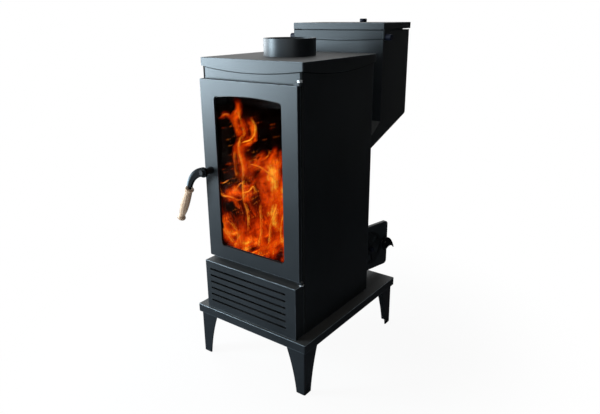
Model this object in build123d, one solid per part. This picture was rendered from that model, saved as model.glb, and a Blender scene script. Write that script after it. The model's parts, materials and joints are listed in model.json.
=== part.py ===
from build123d import *
from math import atan2, cos, radians, sin
import os

os.makedirs("parts", exist_ok=True)

# Free-standing steel pellet stove, fed by gravity from a hopper on its back.
# Millimetres, real size. While it is built, x is 0 on the middle of the body,
# y is 0 on the front face of the casing and grows to the rear, z is 0 on the floor.

# Casing
body_width = 350.0
body_depth = 353.0
base_top = 172.0
casing_top = 934.0
casing_sheet = 3.0
casing_bend = 4.5
contact_gap = 0.3
running_gap = 0.06

# Base plate and legs
base_half_width = 211.5
base_front = -48.0
base_behind = 130.0
base_skirt = 26.0
base_sheet = 3.0
base_corner = 4.5
base_edge_round = 1.5
leg_inset = 7.0
leg_sheet = 4.0
leg_bend = 4.0
leg_toe = 30.0
leg_waist = 43.0
leg_head = 66.0
leg_toe_cut = 2.0
stud_radius = 4.0
stud_length = 14.0
stud_near = 21.0
stud_far = 47.0
stud_slack = 0.3
nut_height = 6.5
nut_radius = 7.5

# Top cap with its curved skirt, and the flue collar
cap_sheet = 3.0
cap_side_overhang = 4.0
cap_front_overhang = 3.5
cap_rear_overhang = 8.5
cap_corner = 3.5
cap_edge_round = 1.5
skirt_corner_drop = 22.0
skirt_front_drop = 35.0
skirt_side_drop = 37.0
flue_radius = 75.0
flue_wall = 3.0
flue_rise = 48.0
flue_step = 1.0
flue_y = body_depth / 2
flue_flange = 95.0

# Firebox opening in the casing and the linings behind it
fire_half_width = 158.0
fire_sill = 362.0
fire_head = 862.0
floor_top = 355.0
floor_sheet = 3.0
floor_flange = 15.0
lining = 25.0
lining_front = 20.0
lining_top = 800.0
baffle_thick = 22.0
baffle_front = 85.0
baffle_side_gap = 2.0
intake_half_width = 140.0
intake_low = 192.0
intake_high = 318.0

# Burn pot
pot_centre_y = flue_y
pot_rim_half = 70.0
pot_half = 56.0
pot_wall = 4.0
pot_rim_thick = 3.0
pot_depth = 63.0
pot_hole = 4.0
pot_hole_pitch = 22.0
pot_hole_rows = (20.0, 40.0)
pot_hole_count = 4
pot_clearance = 2.0
grate_thick = 5.0
grate_slot = 5.0
grate_pitch = 11.0
grate_slots = 7

# Pellet throat, inner chute and hopper
throat_side_wall = 25.0
throat_half_width = body_width / 2 - throat_side_wall
throat_low = 650.0
throat_high = 674.0
chute_wall = 2.0
chute_mouth_half = 45.0
chute_mouth_z = 415.0
chute_mouth_near = 13.5
chute_mouth_far = 58.5
chute_mouth_front = pot_centre_y + chute_mouth_near
chute_mouth_rear = pot_centre_y + chute_mouth_far
chute_liner_gap = 4.0
flange_sheet = 3.0
flange_low = 617.0
flange_high = 692.0
flange_stud_z = 628.0
flange_stud_radius = 3.0
flange_stud_length = 11.0
flange_nut_radius = 6.0
flange_nut_height = 5.0
hopper_past_throat = 15.5
hopper_half_width = throat_half_width + hopper_past_throat
flange_stud_inset = 25.5
flange_stud_outer = hopper_half_width - flange_stud_inset
flange_stud_inner = 50.0
flange_stud_x = (-flange_stud_outer, -flange_stud_inner, flange_stud_inner, flange_stud_outer)
hopper_standoff = 70.0
hopper_depth = 170.5
hopper_top = 998.0
hopper_sheet = 2.0
hopper_shoulder_z = 726.0
hopper_heel_z = 731.0
hopper_heel_round = 8.0
wedge_high = 679.0
wedge_low = 645.0
slide_gap = 8.0
slide_low_z = 652.0
slide_high_z = 843.0
slide_sheet = 2.0
ledge_sheet = 2.0
mouth_inset = 17.0
mouth_collar_rise = 11.0
band_sheet = 2.5
band_end_drop = 22.0
band_mid_drop = 27.0
band_edge_round = 1.0

# Hopper lid
lid_side = 3.5
lid_front_lap = 4.5
lid_rear_lap = 2.8
lid_lift = 24.0
lid_rim = 19.0
lid_sheet = 2.0
lid_round = 1.2
ear_inset = 2.0
ear_length = 43.0
ear_below = 10.0
ear_round = 9.0
pivot_behind = 10.5
pivot_drop = 18.0
pivot_radius = 3.0
pivot_length = 22.0
pivot_cap_radius = 9.5
pivot_cap_end = 1.5
lid_gasket_width = 12.0
lid_knob_inset = 12.0
lid_knob_radius = 12.0
lid_knob_height = 11.0

# Door
door_half_width = 171.5
door_low = 344.0
door_high = 880.5
door_front = -18.5
door_rear = -5.0
door_sheet = 3.0
door_corner = 3.0
door_edge_round = 1.4
window_half_width = 120.0
window_low = 386.0
window_high = 834.0
window_crown = 842.0
window_corner = 11.0
channel_sheet = 2.0
channel_depth = 12.0
rope_width = 8.5
rope_depth = 13.6
rope_round = 3.0
rope_gap = 0.5
glass_half_width = 131.0
glass_low = 375.0
glass_high = 853.0
glass_thick = 4.0
glass_seal_width = 7.0
glass_seal_thick = 2.5
clip_width = 18.0
clip_reach = 22.0
clip_post = 10.0
clip_sheet = 2.0
clip_levels = (0.15, 0.85)
clip_screw_radius = 2.0
clip_screw_head = 4.0
clip_screw_head_height = 2.5

# Door hinge
hinge_x = 172.5
hinge_y = -9.0
hinge_pin_radius = 3.0
hinge_head_radius = 7.5
hinge_head_height = 5.5
hinge_low_head_height = 2.6
lug_thick = 4.5
lug_inner_x = 156.0
lug_margin = 5.0
tab_thick = 3.0
tab_inner_x = 161.0
tab_margin = 5.5
tab_gap = 0.4

# Door handle and latch
spindle_x = -147.0
spindle_z = 618.0
spindle_radius = 5.0
sleeve_radius = 9.0
sleeve_front = -46.0
sleeve_rear = -4.0
sleeve_flange = 11.5
sleeve_flange_thick = 2.5
bar_thick = 8.0
bar_hub = 15.0
bar_round = 2.0
bar_outer_start = (-151.0, 632.5)
bar_outer_mid = (-188.0, 615.5)
bar_outer_end = (-219.5, 567.0)
bar_inner_start = (-145.0, 605.0)
bar_inner_mid = (-177.0, 594.5)
bar_inner_end = (-201.5, 562.0)
grip_top = (-209.0, 562.0)
grip_lean = 24.5
grip_length = 120.0
grip_radius = 15.2
grip_profile = ((0.74, 0.02), (0.95, 0.045), (0.95, 0.08), (0.7, 0.115), (0.79, 0.25), (0.86, 0.42),
                (0.86, 0.58), (0.8, 0.73), (0.66, 0.85), (0.58, 0.9), (0.84, 0.935), (0.87, 0.97), (0.72, 1.0))
grip_tang_radius = 4.0
grip_counterbore = 8.0
grip_counterbore_radius = 7.0
spindle_nut_radius = 8.5
spindle_nut_height = 6.0
tongue_front = 5.5
tongue_thick = 5.0
tongue_hub = 8.5
tongue_reach = 28.0
tongue_width = 9.0
tongue_angle = 100.0
keeper_thick = 2.0
keeper_half_height = 34.0

# Cover with the air slots, under the door
cover_half_width = 174.0
cover_depth = 40.0
cover_high = 332.5
cover_sheet = 3.0
cover_edge_round = 1.4
slot_left = -156.0
slot_right = 139.0
slot_height = 6.5
slot_top_z = 306.5
slot_pitch = 21.3
slot_count = 6

# Ash pan
pan_half_width = 72.0
pan_front = 30.0
pan_behind_gap = 19.0
pan_low = 205.0
pan_high = 279.0
pan_sheet = 2.0
rail_width = 24.0
rail_sheet = 2.0
rail_outer_x = 70.0
pull_half_width = 40.0
pull_low = 228.0
pull_high = 252.0
pull_depth = 13.0
pull_sheet = 3.0

# Rear hatch, modelled shut and then swung to where it stands open
hatch_hinge_gap = 10.0
hatch_reach = 190.0
hatch_start = 5.5
hatch_low = 187.0
hatch_high = 351.0
hatch_thick = 12.0
hatch_sheet = 2.5
hatch_corner = 13.0
hatch_edge_round = 1.0
hatch_open_angle = 102.4
hatch_hole_half_width = 78.5
hatch_hole_low = 202.0
hatch_hole_high = 336.0
hatch_rope_width = 7.0
hatch_rope_inset = 6.0
knuckle_radius = 4.5
knuckle_length = 14.0
knuckle_centres = (224.0, 308.0)
hatch_pin_radius = 2.5
vent_radius = 60.0
vent_outer = 50.0
vent_inner = 22.0
vent_count = 5
vent_sector = 32.0
vent_shut_turn = 36.0
vent_disc = 2.5
vent_pin_radius = 3.0
vent_knob_radius = 9.0
vent_knob_height = 12.0
hatch_spindle_s = 168.0
hatch_spindle_z = 277.0
hatch_spindle_radius = 4.0
hatch_lever_gap = 6.0
hatch_lever_thick = 5.0
hatch_lever_points = ((6.0, 16.0), (28.0, 5.0), (48.0, -33.0), (4.0, -35.0))
hatch_lever_root = (-9.0, 6.0)
hatch_lever_bows = ((-3.0, 14.0), (17.0, 13.0), (40.0, -12.0), (27.0, -21.0), (-7.0, -22.0))
hatch_tongue_reach = 20.0
hatch_tongue_width = 8.0
hatch_tongue_gap = 2.0
hatch_tongue_thick = 4.0

half = body_width / 2
inner_half = half - casing_sheet
rear_inner = body_depth - casing_sheet
base_rear = body_depth + base_behind
hopper_front = body_depth + hopper_standoff
hopper_rear = hopper_front + hopper_depth
slide_low_y = body_depth + slide_gap
band_end_z = hopper_top - band_end_drop
band_mid_z = hopper_top - band_mid_drop
lid_front = hopper_front - lid_front_lap
lid_rear = hopper_rear + lid_rear_lap
lid_top = hopper_top + lid_lift
pivot_y = hopper_front + pivot_behind
pivot_z = hopper_top - pivot_drop
ear_front = lid_front + ear_inset
ear_rear = ear_front + ear_length
ear_low = pivot_z - ear_below
lid_knob_y = lid_rear - lid_knob_inset
pan_rear = body_depth - pan_behind_gap
hatch_hinge_y = body_depth + hatch_hinge_gap
hatch_hinge_x = (hatch_reach + hatch_start) / 2
pieces = {}


def slab(x0, x1, y0, y1, z0, z1):
    middle = Pos((x0 + x1) / 2, (y0 + y1) / 2, (z0 + z1) / 2)
    return middle * Box(x1 - x0, y1 - y0, z1 - z0)


def upright(face, y0, y1):
    # A face drawn in x and z, made solid from y0 back to y1.
    return extrude(Plane.XZ.offset(-y1) * face, amount=y1 - y0)


def sideways(face, x0, x1):
    # A face drawn in y and z, made solid from x0 to x1.
    return extrude(Plane.YZ.offset(x0) * face, amount=x1 - x0)


def flat(face, z0, z1):
    return extrude(Plane.XY.offset(z0) * face, amount=z1 - z0)


def rectangle(x0, x1, z0, z1, radius=0.0):
    size = (x1 - x0, z1 - z0)
    shape = RectangleRounded(*size, radius) if radius else Rectangle(*size)
    return Pos((x0 + x1) / 2, (z0 + z1) / 2) * shape


def rod_y(x, z, radius, y0, y1):
    return upright(Pos(x, z) * Circle(radius), y0, y1)


def rod_x(y, z, radius, x0, x1):
    return sideways(Pos(y, z) * Circle(radius), x0, x1)


def rod_z(x, y, radius, z0, z1):
    return flat(Pos(x, y) * Circle(radius), z0, z1)


def hexagon(radius):
    return RegularPolygon(radius, 6)


def keep(name, *solids):
    pieces[name] = list(solids)


def edges_near(shape, axis, test):
    return [edge for edge in shape.edges().filter_by(axis) if test(edge.center())]


# Base plate, legs and what holds them

leg_outer_x = base_half_width - leg_inset
leg_front_y = base_front + leg_inset
leg_rear_y = base_rear - leg_inset
leg_height = base_top - base_sheet
leg_skirt_z = base_top - base_skirt


def stud_points():
    points = []
    for near, far in ((stud_near, stud_far), (stud_far, stud_near)):
        for sx in (-1, 1):
            points.append((sx * (leg_outer_x - near), leg_front_y + far))
            points.append((sx * (leg_outer_x - near), leg_rear_y - far))
    return points


def base_plate():
    width = 2 * base_half_width
    depth = base_rear - base_front
    middle = Pos(0, (base_front + base_rear) / 2)
    outer = flat(middle * RectangleRounded(width, depth, base_corner), leg_skirt_z, base_top)
    outer = fillet(outer.faces().sort_by(Axis.Z)[-1].edges(), base_edge_round)
    wall = 2 * base_sheet
    core = middle * RectangleRounded(width - wall, depth - wall, base_corner - base_sheet)
    plate = outer - flat(core, leg_skirt_z - 1, base_top - base_sheet)
    for x, y in stud_points():
        plate += rod_z(x, y, stud_radius, leg_height - stud_length, leg_height + base_sheet / 2)
    keep("base_plate", plate)


def leg_flange_face():
    outline = Polyline((-leg_toe, 0), (0, 0), (0, leg_height), (-leg_head, leg_height),
                       (-leg_head, leg_skirt_z))
    outline += ThreePointArc((-leg_head, leg_skirt_z), (-leg_waist, leg_skirt_z / 2), (-leg_toe, 0))
    return make_face(outline)


def front_right_leg():
    face = leg_flange_face()
    front = upright(face, 0, leg_sheet)
    side = sideways(mirror(face, about=Plane.YZ), -leg_sheet, 0)
    head = slab(-leg_head, 0, 0, leg_head, leg_height - leg_sheet, leg_height)
    leg = front + side + head
    corner = edges_near(leg, Axis.Z, lambda c: abs(c.X) < 0.1 and abs(c.Y) < 0.1)
    leg = fillet(corner, leg_bend)
    across = Plane(origin=(0, 0, 0), x_dir=(1, -1, 0), z_dir=(-1, -1, 0))
    c = leg_toe_cut
    nick = make_face(Polyline((-2 * c, -c), (c, -c), (c, 2 * c), close=True))
    leg -= extrude(across * nick, amount=leg_toe, both=True)
    leg = Pos(leg_outer_x, leg_front_y, 0) * leg
    for x, y in stud_points():
        leg -= rod_z(x, y, stud_radius + stud_slack, leg_height - leg_sheet - 1, leg_height + 1)
    return leg


def legs():
    leg = front_right_leg()
    middle = Plane.XZ.offset(-(leg_front_y + leg_rear_y) / 2)
    rear = mirror(leg, about=middle)
    keep("leg_front_right", leg)
    keep("leg_front_left", mirror(leg, about=Plane.YZ))
    keep("leg_rear_right", rear)
    keep("leg_rear_left", mirror(rear, about=Plane.YZ))
    top = leg_height - leg_sheet
    nuts = []
    for x, y in stud_points():
        ring = Pos(x, y) * (hexagon(nut_radius) - Circle(stud_radius))
        nuts.append(flat(ring, top - nut_height, top))
    keep("leg_nuts", *nuts)


# Casing

def body_casing():
    outer = slab(-half, half, 0, body_depth, base_top, casing_top)
    corners = edges_near(outer, Axis.Z, lambda c: c.Y < 1)
    outer = fillet(corners, casing_bend)
    core = slab(-inner_half, inner_half, casing_sheet, body_depth + 1, base_top - 1, casing_top + 1)
    corners = edges_near(core, Axis.Z, lambda c: c.Y < casing_sheet + 1)
    core = fillet(corners, casing_bend - casing_sheet)
    casing = outer - core
    casing -= slab(-fire_half_width, fire_half_width, -1, casing_bend, fire_sill, fire_head)
    casing -= slab(-intake_half_width, intake_half_width, -1, casing_bend, intake_low, intake_high)
    keep("body_casing", casing)


def rear_panel():
    panel = slab(-inner_half, inner_half, rear_inner, body_depth, base_top, casing_top)
    fold = rear_inner - floor_flange
    for side in (-1, 1):
        x0, x1 = sorted((side * inner_half, side * (inner_half - casing_sheet)))
        panel += slab(x0, x1, fold, rear_inner, base_top, casing_top)
    panel -= slab(-throat_half_width, throat_half_width, rear_inner - 1, body_depth + 1,
                  throat_low, throat_high)
    hatch_hole = rectangle(-hatch_hole_half_width, hatch_hole_half_width, hatch_hole_low, hatch_hole_high, 5)
    panel -= upright(hatch_hole, rear_inner - 1, body_depth + 1)
    for x in flange_stud_x:
        panel += rod_y(x, flange_stud_z, flange_stud_radius, rear_inner + casing_sheet / 2,
                       body_depth + flange_stud_length)
    keep("rear_panel", panel)


cap_half = half + cap_side_overhang
cap_front = -cap_front_overhang
cap_rear = body_depth + cap_rear_overhang
cap_top = casing_top + cap_sheet


def skirt_cut(start, end, corner_z, mid_z):
    # The space under one bowed skirt edge, as a face.
    low = mid_z - 20
    arc = ThreePointArc((start, corner_z), ((start + end) / 2, mid_z), (end, corner_z))
    return make_face(arc + Polyline((end, corner_z), (end, low), (start, low), (start, corner_z)))


def top_cap():
    low = cap_top - skirt_side_drop
    cap = slab(-cap_half, cap_half, cap_front, cap_rear, low - 5, cap_top)
    cap = fillet(cap.edges().filter_by(Axis.Z), cap_corner)
    cap = fillet(cap.faces().sort_by(Axis.Z)[-1].edges(), cap_edge_round)
    s = cap_sheet
    cap -= slab(-cap_half + s, cap_half - s, cap_front + s, cap_rear - s, low - 6, casing_top)
    corner_z = cap_top - skirt_corner_drop
    long_cut = skirt_cut(-cap_half, cap_half, corner_z, cap_top - skirt_front_drop)
    side_cut = skirt_cut(cap_front, cap_rear, corner_z, cap_top - skirt_side_drop)
    cap -= upright(long_cut, cap_front - 1, cap_front + s)
    cap -= upright(long_cut, cap_rear - s, cap_rear + 1)
    cap -= sideways(side_cut, -cap_half - 1, -cap_half + s)
    cap -= sideways(side_cut, cap_half - s, cap_half + 1)
    cap -= rod_z(0, flue_y, flue_radius - flue_step + running_gap, casing_top - 1, cap_top + 1)
    keep("top_cap", cap)


def flue_collar():
    # The collar stands on the cap, and its turned-down tail goes through to the flange below.
    tube = rod_z(0, flue_y, flue_radius, cap_top, cap_top + flue_rise)
    tube += rod_z(0, flue_y, flue_radius - flue_step, casing_top - flue_wall, cap_top)
    tube += rod_z(0, flue_y, flue_flange, casing_top - flue_wall, casing_top)
    tube -= rod_z(0, flue_y, flue_radius - flue_wall, casing_top - 10, cap_top + flue_rise + 1)
    keep("flue_collar", tube)


def air_cover():
    cover = slab(-cover_half_width, cover_half_width, -cover_depth, 0, base_top, cover_high)
    ends = edges_near(cover, Axis.Z, lambda c: c.Y < -1)
    ends += edges_near(cover, Axis.X, lambda c: c.Y < -1 and c.Z > cover_high - 1)
    ends += edges_near(cover, Axis.Y, lambda c: c.Z > cover_high - 1)
    cover = fillet(ends, cover_edge_round)
    s = cover_sheet
    cover -= slab(-cover_half_width + s, cover_half_width - s, -cover_depth + s, 1,
                  base_top - 1, cover_high - s)
    length = slot_right - slot_left
    slots = Sketch() + [Pos((slot_left + slot_right) / 2, slot_top_z - i * slot_pitch) *
                        SlotOverall(length, slot_height) for i in range(slot_count)]
    cover -= upright(slots, -cover_depth - 1, -cover_depth + s + 1)
    keep("air_cover", cover)


# Inside the firebox

def firebox_floor():
    floor = slab(-inner_half, inner_half, casing_sheet, rear_inner - floor_flange,
                 floor_top - floor_sheet, floor_top)
    for side in (-1, 1):
        x0, x1 = sorted((side * inner_half, side * (inner_half - floor_sheet)))
        floor += slab(x0, x1, casing_bend, rear_inner - floor_flange, floor_top - floor_flange, floor_top)
    hole = pot_half + pot_clearance
    floor -= slab(-hole, hole, pot_centre_y - hole, pot_centre_y + hole, floor_top - 10, floor_top + 1)
    for side in (-1, 1):
        x0, x1 = sorted((side * inner_half, side * (inner_half - casing_bend)))
        floor -= slab(x0, x1, 0, casing_bend, floor_top - 20, floor_top + 1)
    keep("firebox_floor", floor)


def linings():
    rear_y = rear_inner - lining
    for name, side in (("left_lining", -1), ("right_lining", 1)):
        x0, x1 = sorted((side * inner_half, side * (inner_half - lining)))
        keep(name, slab(x0, x1, lining_front, rear_y, floor_top, lining_top))
    edge = inner_half - casing_sheet
    back = slab(-edge, edge, rear_y, rear_inner, floor_top, lining_top)
    gap = throat_half_width + chute_wall + chute_liner_gap
    slope = (throat_low - chute_mouth_z) / (rear_inner - chute_mouth_rear)
    low = throat_low - slope * (lining + chute_liner_gap) - 3 * chute_wall
    back -= slab(-gap, gap, rear_y - 1, rear_inner + 1, low, throat_high + chute_wall + chute_liner_gap)
    keep("rear_lining", back)
    x = inner_half - baffle_side_gap
    keep("baffle_plate", slab(-x, x, baffle_front, rear_inner - floor_flange - 1,
                              lining_top, lining_top + baffle_thick))


def burn_pot():
    def square(size, low, high):
        return slab(-size, size, pot_centre_y - size, pot_centre_y + size, low, high)

    foot_z = floor_top - pot_depth
    ledge = foot_z + pot_wall
    pot = square(pot_half, foot_z, floor_top)
    pot += square(pot_rim_half, floor_top, floor_top + pot_rim_thick)
    pot -= square(pot_half - pot_wall, ledge, floor_top + pot_rim_thick + 1)
    mouth = pot_half - 3 * pot_wall
    pot -= square(mouth, foot_z - 1, ledge + 1)
    first = -(pot_hole_count - 1) / 2
    for drop in pot_hole_rows:
        for i in range(pot_hole_count):
            along = (first + i) * pot_hole_pitch
            z = floor_top - drop
            pot -= rod_x(pot_centre_y + along, z, pot_hole, -pot_half - 1, pot_half + 1)
            pot -= rod_y(along, z, pot_hole, pot_centre_y - pot_half - 1, pot_centre_y + pot_half + 1)
    keep("burn_pot", pot)
    grate = square(pot_half - pot_wall - contact_gap, ledge, ledge + grate_thick)
    first = -(grate_slots - 1) / 2
    for i in range(grate_slots):
        x = (first + i) * grate_pitch
        y0, y1 = pot_centre_y - mouth + 2, pot_centre_y + mouth - 2
        grate -= slab(x - grate_slot / 2, x + grate_slot / 2, y0, y1, ledge - 1, ledge + grate_thick + 1)
    keep("burn_pot_grate", grate)


def inner_chute():
    # The duct is where a funnel seen from the front meets a slope seen from the side. Two sloping
    # plates span its whole width, and a cheek closes each side between them.
    past = 10 * chute_wall
    top, foot = throat_high, chute_mouth_z
    slope = make_face(Polyline((rear_inner + past, top), (rear_inner, top), (chute_mouth_front, foot),
                               (chute_mouth_front, foot - past), (chute_mouth_rear, foot - past),
                               (chute_mouth_rear, foot), (rear_inner, throat_low),
                               (rear_inner + past, throat_low), close=True))
    funnel = make_face(Polyline((-throat_half_width, top + past), (-throat_half_width, throat_low),
                                (-chute_mouth_half, foot), (-chute_mouth_half, foot - past),
                                (chute_mouth_half, foot - past), (chute_mouth_half, foot),
                                (throat_half_width, throat_low), (throat_half_width, top + past), close=True))

    across = sideways(slope, -half, half)
    along = upright(funnel, 0, rear_inner + past)
    wide = sideways(offset(slope, chute_wall, kind=Kind.INTERSECTION), -half, half)
    deep = upright(offset(funnel, chute_wall, kind=Kind.INTERSECTION), 0, rear_inner + past)
    room = slab(-half, half, 0, rear_inner, foot, top + chute_wall)
    keep("inner_chute", (wide - across) & deep & room)
    keep("chute_cheeks", (deep - along) & across & room)


# Hopper

def hopper_outline():
    y0 = body_depth + flange_sheet
    outline = make_face(Polyline((y0, wedge_low), (hopper_rear, hopper_heel_z), (hopper_rear, hopper_top),
                                 (hopper_front, hopper_top), (hopper_front, hopper_shoulder_z),
                                 (y0, wedge_high), close=True))
    heel = outline.vertices().sort_by(Axis.X)[-2:]
    heel = [v for v in heel if v.Y < hopper_heel_z + 1]
    return fillet(heel, hopper_heel_round)


def hopper_shell():
    outline = hopper_outline()
    shell = sideways(outline, -hopper_half_width, hopper_half_width)
    core = offset(outline, -hopper_sheet)
    inner = hopper_half_width - hopper_sheet
    shell -= sideways(core, -inner, inner)
    shell -= slab(-inner, inner, hopper_front + hopper_sheet, hopper_rear - hopper_sheet,
                  hopper_top - 10, hopper_top + 1)
    y0 = body_depth + flange_sheet
    shell -= slab(-throat_half_width, throat_half_width, y0 - 1, y0 + 3 * hopper_sheet,
                  throat_low, throat_high)
    keep("hopper_shell", shell)
    run = hopper_rear - hopper_sheet - slide_low_y
    rise = slide_high_z - slide_low_z
    lift = slide_sheet / cos(atan2(rise, run))
    face = make_face(Polyline((slide_low_y, slide_low_z), (slide_low_y + run, slide_high_z),
                              (slide_low_y + run, slide_high_z + lift),
                              (slide_low_y, slide_low_z + lift), close=True))
    keep("hopper_slide", sideways(face, -inner, inner))


def hopper_top_frame():
    ledge_top = hopper_top + ledge_sheet
    ledge = slab(-hopper_half_width, hopper_half_width, hopper_front, hopper_rear, hopper_top, ledge_top)
    band_front = hopper_front - band_sheet
    low = band_mid_z - 5
    band = slab(-hopper_half_width, hopper_half_width, band_front, hopper_front, low, ledge_top)
    band -= upright(skirt_cut(-hopper_half_width, hopper_half_width, band_end_z, band_mid_z),
                    band_front - 1, hopper_front + 1)
    frame = ledge + band
    brow = edges_near(frame, Axis.X, lambda c: c.Y < band_front + 0.1 and c.Z > ledge_top - 0.1)
    frame = fillet(brow, band_edge_round)
    x = hopper_half_width - mouth_inset
    y0, y1 = hopper_front + mouth_inset, hopper_rear - mouth_inset
    s = ledge_sheet
    frame += slab(-x - s, x + s, y0 - s, y1 + s, hopper_top, ledge_top + mouth_collar_rise)
    frame -= slab(-x, x, y0, y1, hopper_top - 1, ledge_top + mouth_collar_rise + 1)
    keep("hopper_top_frame", frame)


def chute_flange():
    edge = hopper_half_width
    y1 = body_depth + flange_sheet
    flange = slab(-edge, edge, body_depth, y1, flange_low, flange_high)
    flange -= slab(-throat_half_width, throat_half_width, body_depth - 1, y1 + 1, throat_low, throat_high)
    nuts = []
    for x in flange_stud_x:
        flange -= rod_y(x, flange_stud_z, flange_stud_radius + stud_slack, body_depth - 1, y1 + 1)
        ring = Pos(x, flange_stud_z) * (hexagon(flange_nut_radius) - Circle(flange_stud_radius))
        nuts.append(upright(ring, y1, y1 + flange_nut_height))
    keep("chute_flange", flange)
    keep("chute_nuts", *nuts)


def lid():
    x = hopper_half_width + lid_side
    low = lid_top - lid_rim
    s = lid_sheet
    shell = slab(-x, x, lid_front, lid_rear, low, lid_top)
    shell = fillet(shell.edges().filter_by(Axis.Z) + shell.faces().sort_by(Axis.Z)[-1].edges(), lid_round)
    shell -= slab(-x + s, x - s, lid_front + s, lid_rear - s, low - 1, lid_top - s)
    ear = rectangle(ear_front, ear_rear, ear_low, low + s)
    ear = fillet([v for v in ear.vertices() if v.Y < ear_low + 1], ear_round)
    ear -= Pos(pivot_y, pivot_z) * Circle(pivot_radius + running_gap)
    shell += sideways(ear, x - s, x)
    shell += sideways(ear, -x, -x + s)
    keep("hopper_lid", shell)
    mouth_x = hopper_half_width - mouth_inset + ledge_sheet / 2
    mouth_y0 = hopper_front + mouth_inset - ledge_sheet / 2
    mouth_y1 = hopper_rear - mouth_inset + ledge_sheet / 2
    w = lid_gasket_width / 2
    seal = rectangle(-mouth_x - w, mouth_x + w, mouth_y0 - w, mouth_y1 + w, w)
    seal -= rectangle(-mouth_x + w, mouth_x - w, mouth_y0 + w, mouth_y1 - w, w / 2)
    bottom = hopper_top + ledge_sheet + mouth_collar_rise + contact_gap
    keep("lid_gasket", flat(seal, bottom, lid_top - s))
    r, h = lid_knob_radius, lid_knob_height
    profile = make_face(Polyline((0, 0), (r * 0.9, 0), (r, h * 0.15), (r, h * 0.85), (r * 0.9, h), (0, h),
                                 close=True))
    knob = revolve(Plane.XZ * profile, Axis.Z)
    keep("lid_knob", Pos(0, lid_knob_y, lid_top) * knob)


def lid_pivots():
    x0 = hopper_half_width
    stud = rod_x(pivot_y, pivot_z, pivot_radius, x0, x0 + pivot_length)
    keep("lid_pivot_studs", stud, mirror(stud, about=Plane.YZ))
    x1 = x0 + lid_side + contact_gap
    end = x0 + pivot_length + pivot_cap_end
    cap = rod_x(pivot_y, pivot_z, pivot_cap_radius, x1, end)
    cap = chamfer(cap.faces().sort_by(Axis.X)[-1].edges(), 1.5)
    cap -= rod_x(pivot_y, pivot_z, pivot_radius, x1 - 1, x0 + pivot_length)
    keep("lid_pivot_caps", cap, mirror(cap, about=Plane.YZ))


# Door

def window_face(grow=0.0):
    w = window_half_width + grow
    low, high = window_low - grow, window_high + grow
    outline = Polyline((-w, high), (-w, low), (w, low), (w, high))
    outline += ThreePointArc((w, high), (0, window_crown + grow), (-w, high))
    face = make_face(outline)
    return fillet(face.vertices(), window_corner + grow / 2)


def door_shell():
    w = door_half_width
    door = slab(-w, w, door_front, door_rear, door_low, door_high)
    door = fillet(door.edges().filter_by(Axis.Y), door_corner)
    door = fillet(door.faces().sort_by(Axis.Y)[0].edges(), door_edge_round)
    s = door_sheet
    door -= slab(-w + s, w - s, door_front + s, door_rear + 1, door_low + s, door_high - s)
    door -= upright(window_face(), door_front - 1, door_front + s + 1)
    door -= rod_y(spindle_x, spindle_z, sleeve_radius + running_gap, door_front - 1, door_front + s + 1)
    keep("door_shell", door)


def door_seals():
    inner_x = door_half_width - door_sheet
    low, high = door_low + door_sheet, door_high - door_sheet
    outer = rectangle(-inner_x + rope_gap, inner_x - rope_gap, low + rope_gap, high - rope_gap, 4)
    inset = rope_gap + rope_width
    inner = rectangle(-inner_x + inset, inner_x - inset, low + inset, high - inset, 4)
    rope = upright(outer - inner, -contact_gap - rope_depth, -contact_gap)
    rope = chamfer(rope.faces().sort_by(Axis.Y)[-1].edges(), rope_round)
    keep("door_gasket", rope)
    inset += rope_gap
    c = channel_sheet
    wall = rectangle(-inner_x + inset, inner_x - inset, low + inset, high - inset, 4)
    wall -= rectangle(-inner_x + inset + c, inner_x - inset - c, low + inset + c, high - inset - c)
    back = door_front + door_sheet
    keep("gasket_channel", upright(wall, back, back + channel_depth))


def door_glazing():
    back = door_front + door_sheet
    glass_y = back + glass_seal_thick
    outline = rectangle(-glass_half_width, glass_half_width, glass_low, glass_high, 4)
    keep("door_glass", upright(outline, glass_y, glass_y + glass_thick))
    seal = outline - window_face(glass_half_width - window_half_width - glass_seal_width)
    keep("glass_seal", upright(seal, back, glass_y))
    clips, screws = [], []
    rear = glass_y + glass_thick
    for side in (-1, 1):
        for level in clip_levels:
            z = glass_low + level * (glass_high - glass_low)
            x_post = side * (glass_half_width + contact_gap)
            x0, x1 = sorted((x_post, x_post + side * clip_post))
            z0, z1 = z - clip_width / 2, z + clip_width / 2
            clip = slab(x0, x1, back, rear, z0, z1)
            x0, x1 = sorted((x_post + side * clip_post, x_post + side * (clip_post - clip_reach)))
            clip += slab(x0, x1, rear, rear + clip_sheet, z0, z1)
            x_hole = x_post + side * clip_post / 2
            clip -= rod_y(x_hole, z, clip_screw_radius + running_gap, back - 1, rear + clip_sheet + 1)
            head = rear + clip_sheet
            screw = rod_y(x_hole, z, clip_screw_radius, back, head)
            screw += rod_y(x_hole, z, clip_screw_head, head, head + clip_screw_head_height)
            clips.append(clip)
            screws.append(screw)
    keep("glass_clips", *clips)
    keep("clip_screws", *screws)


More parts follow.
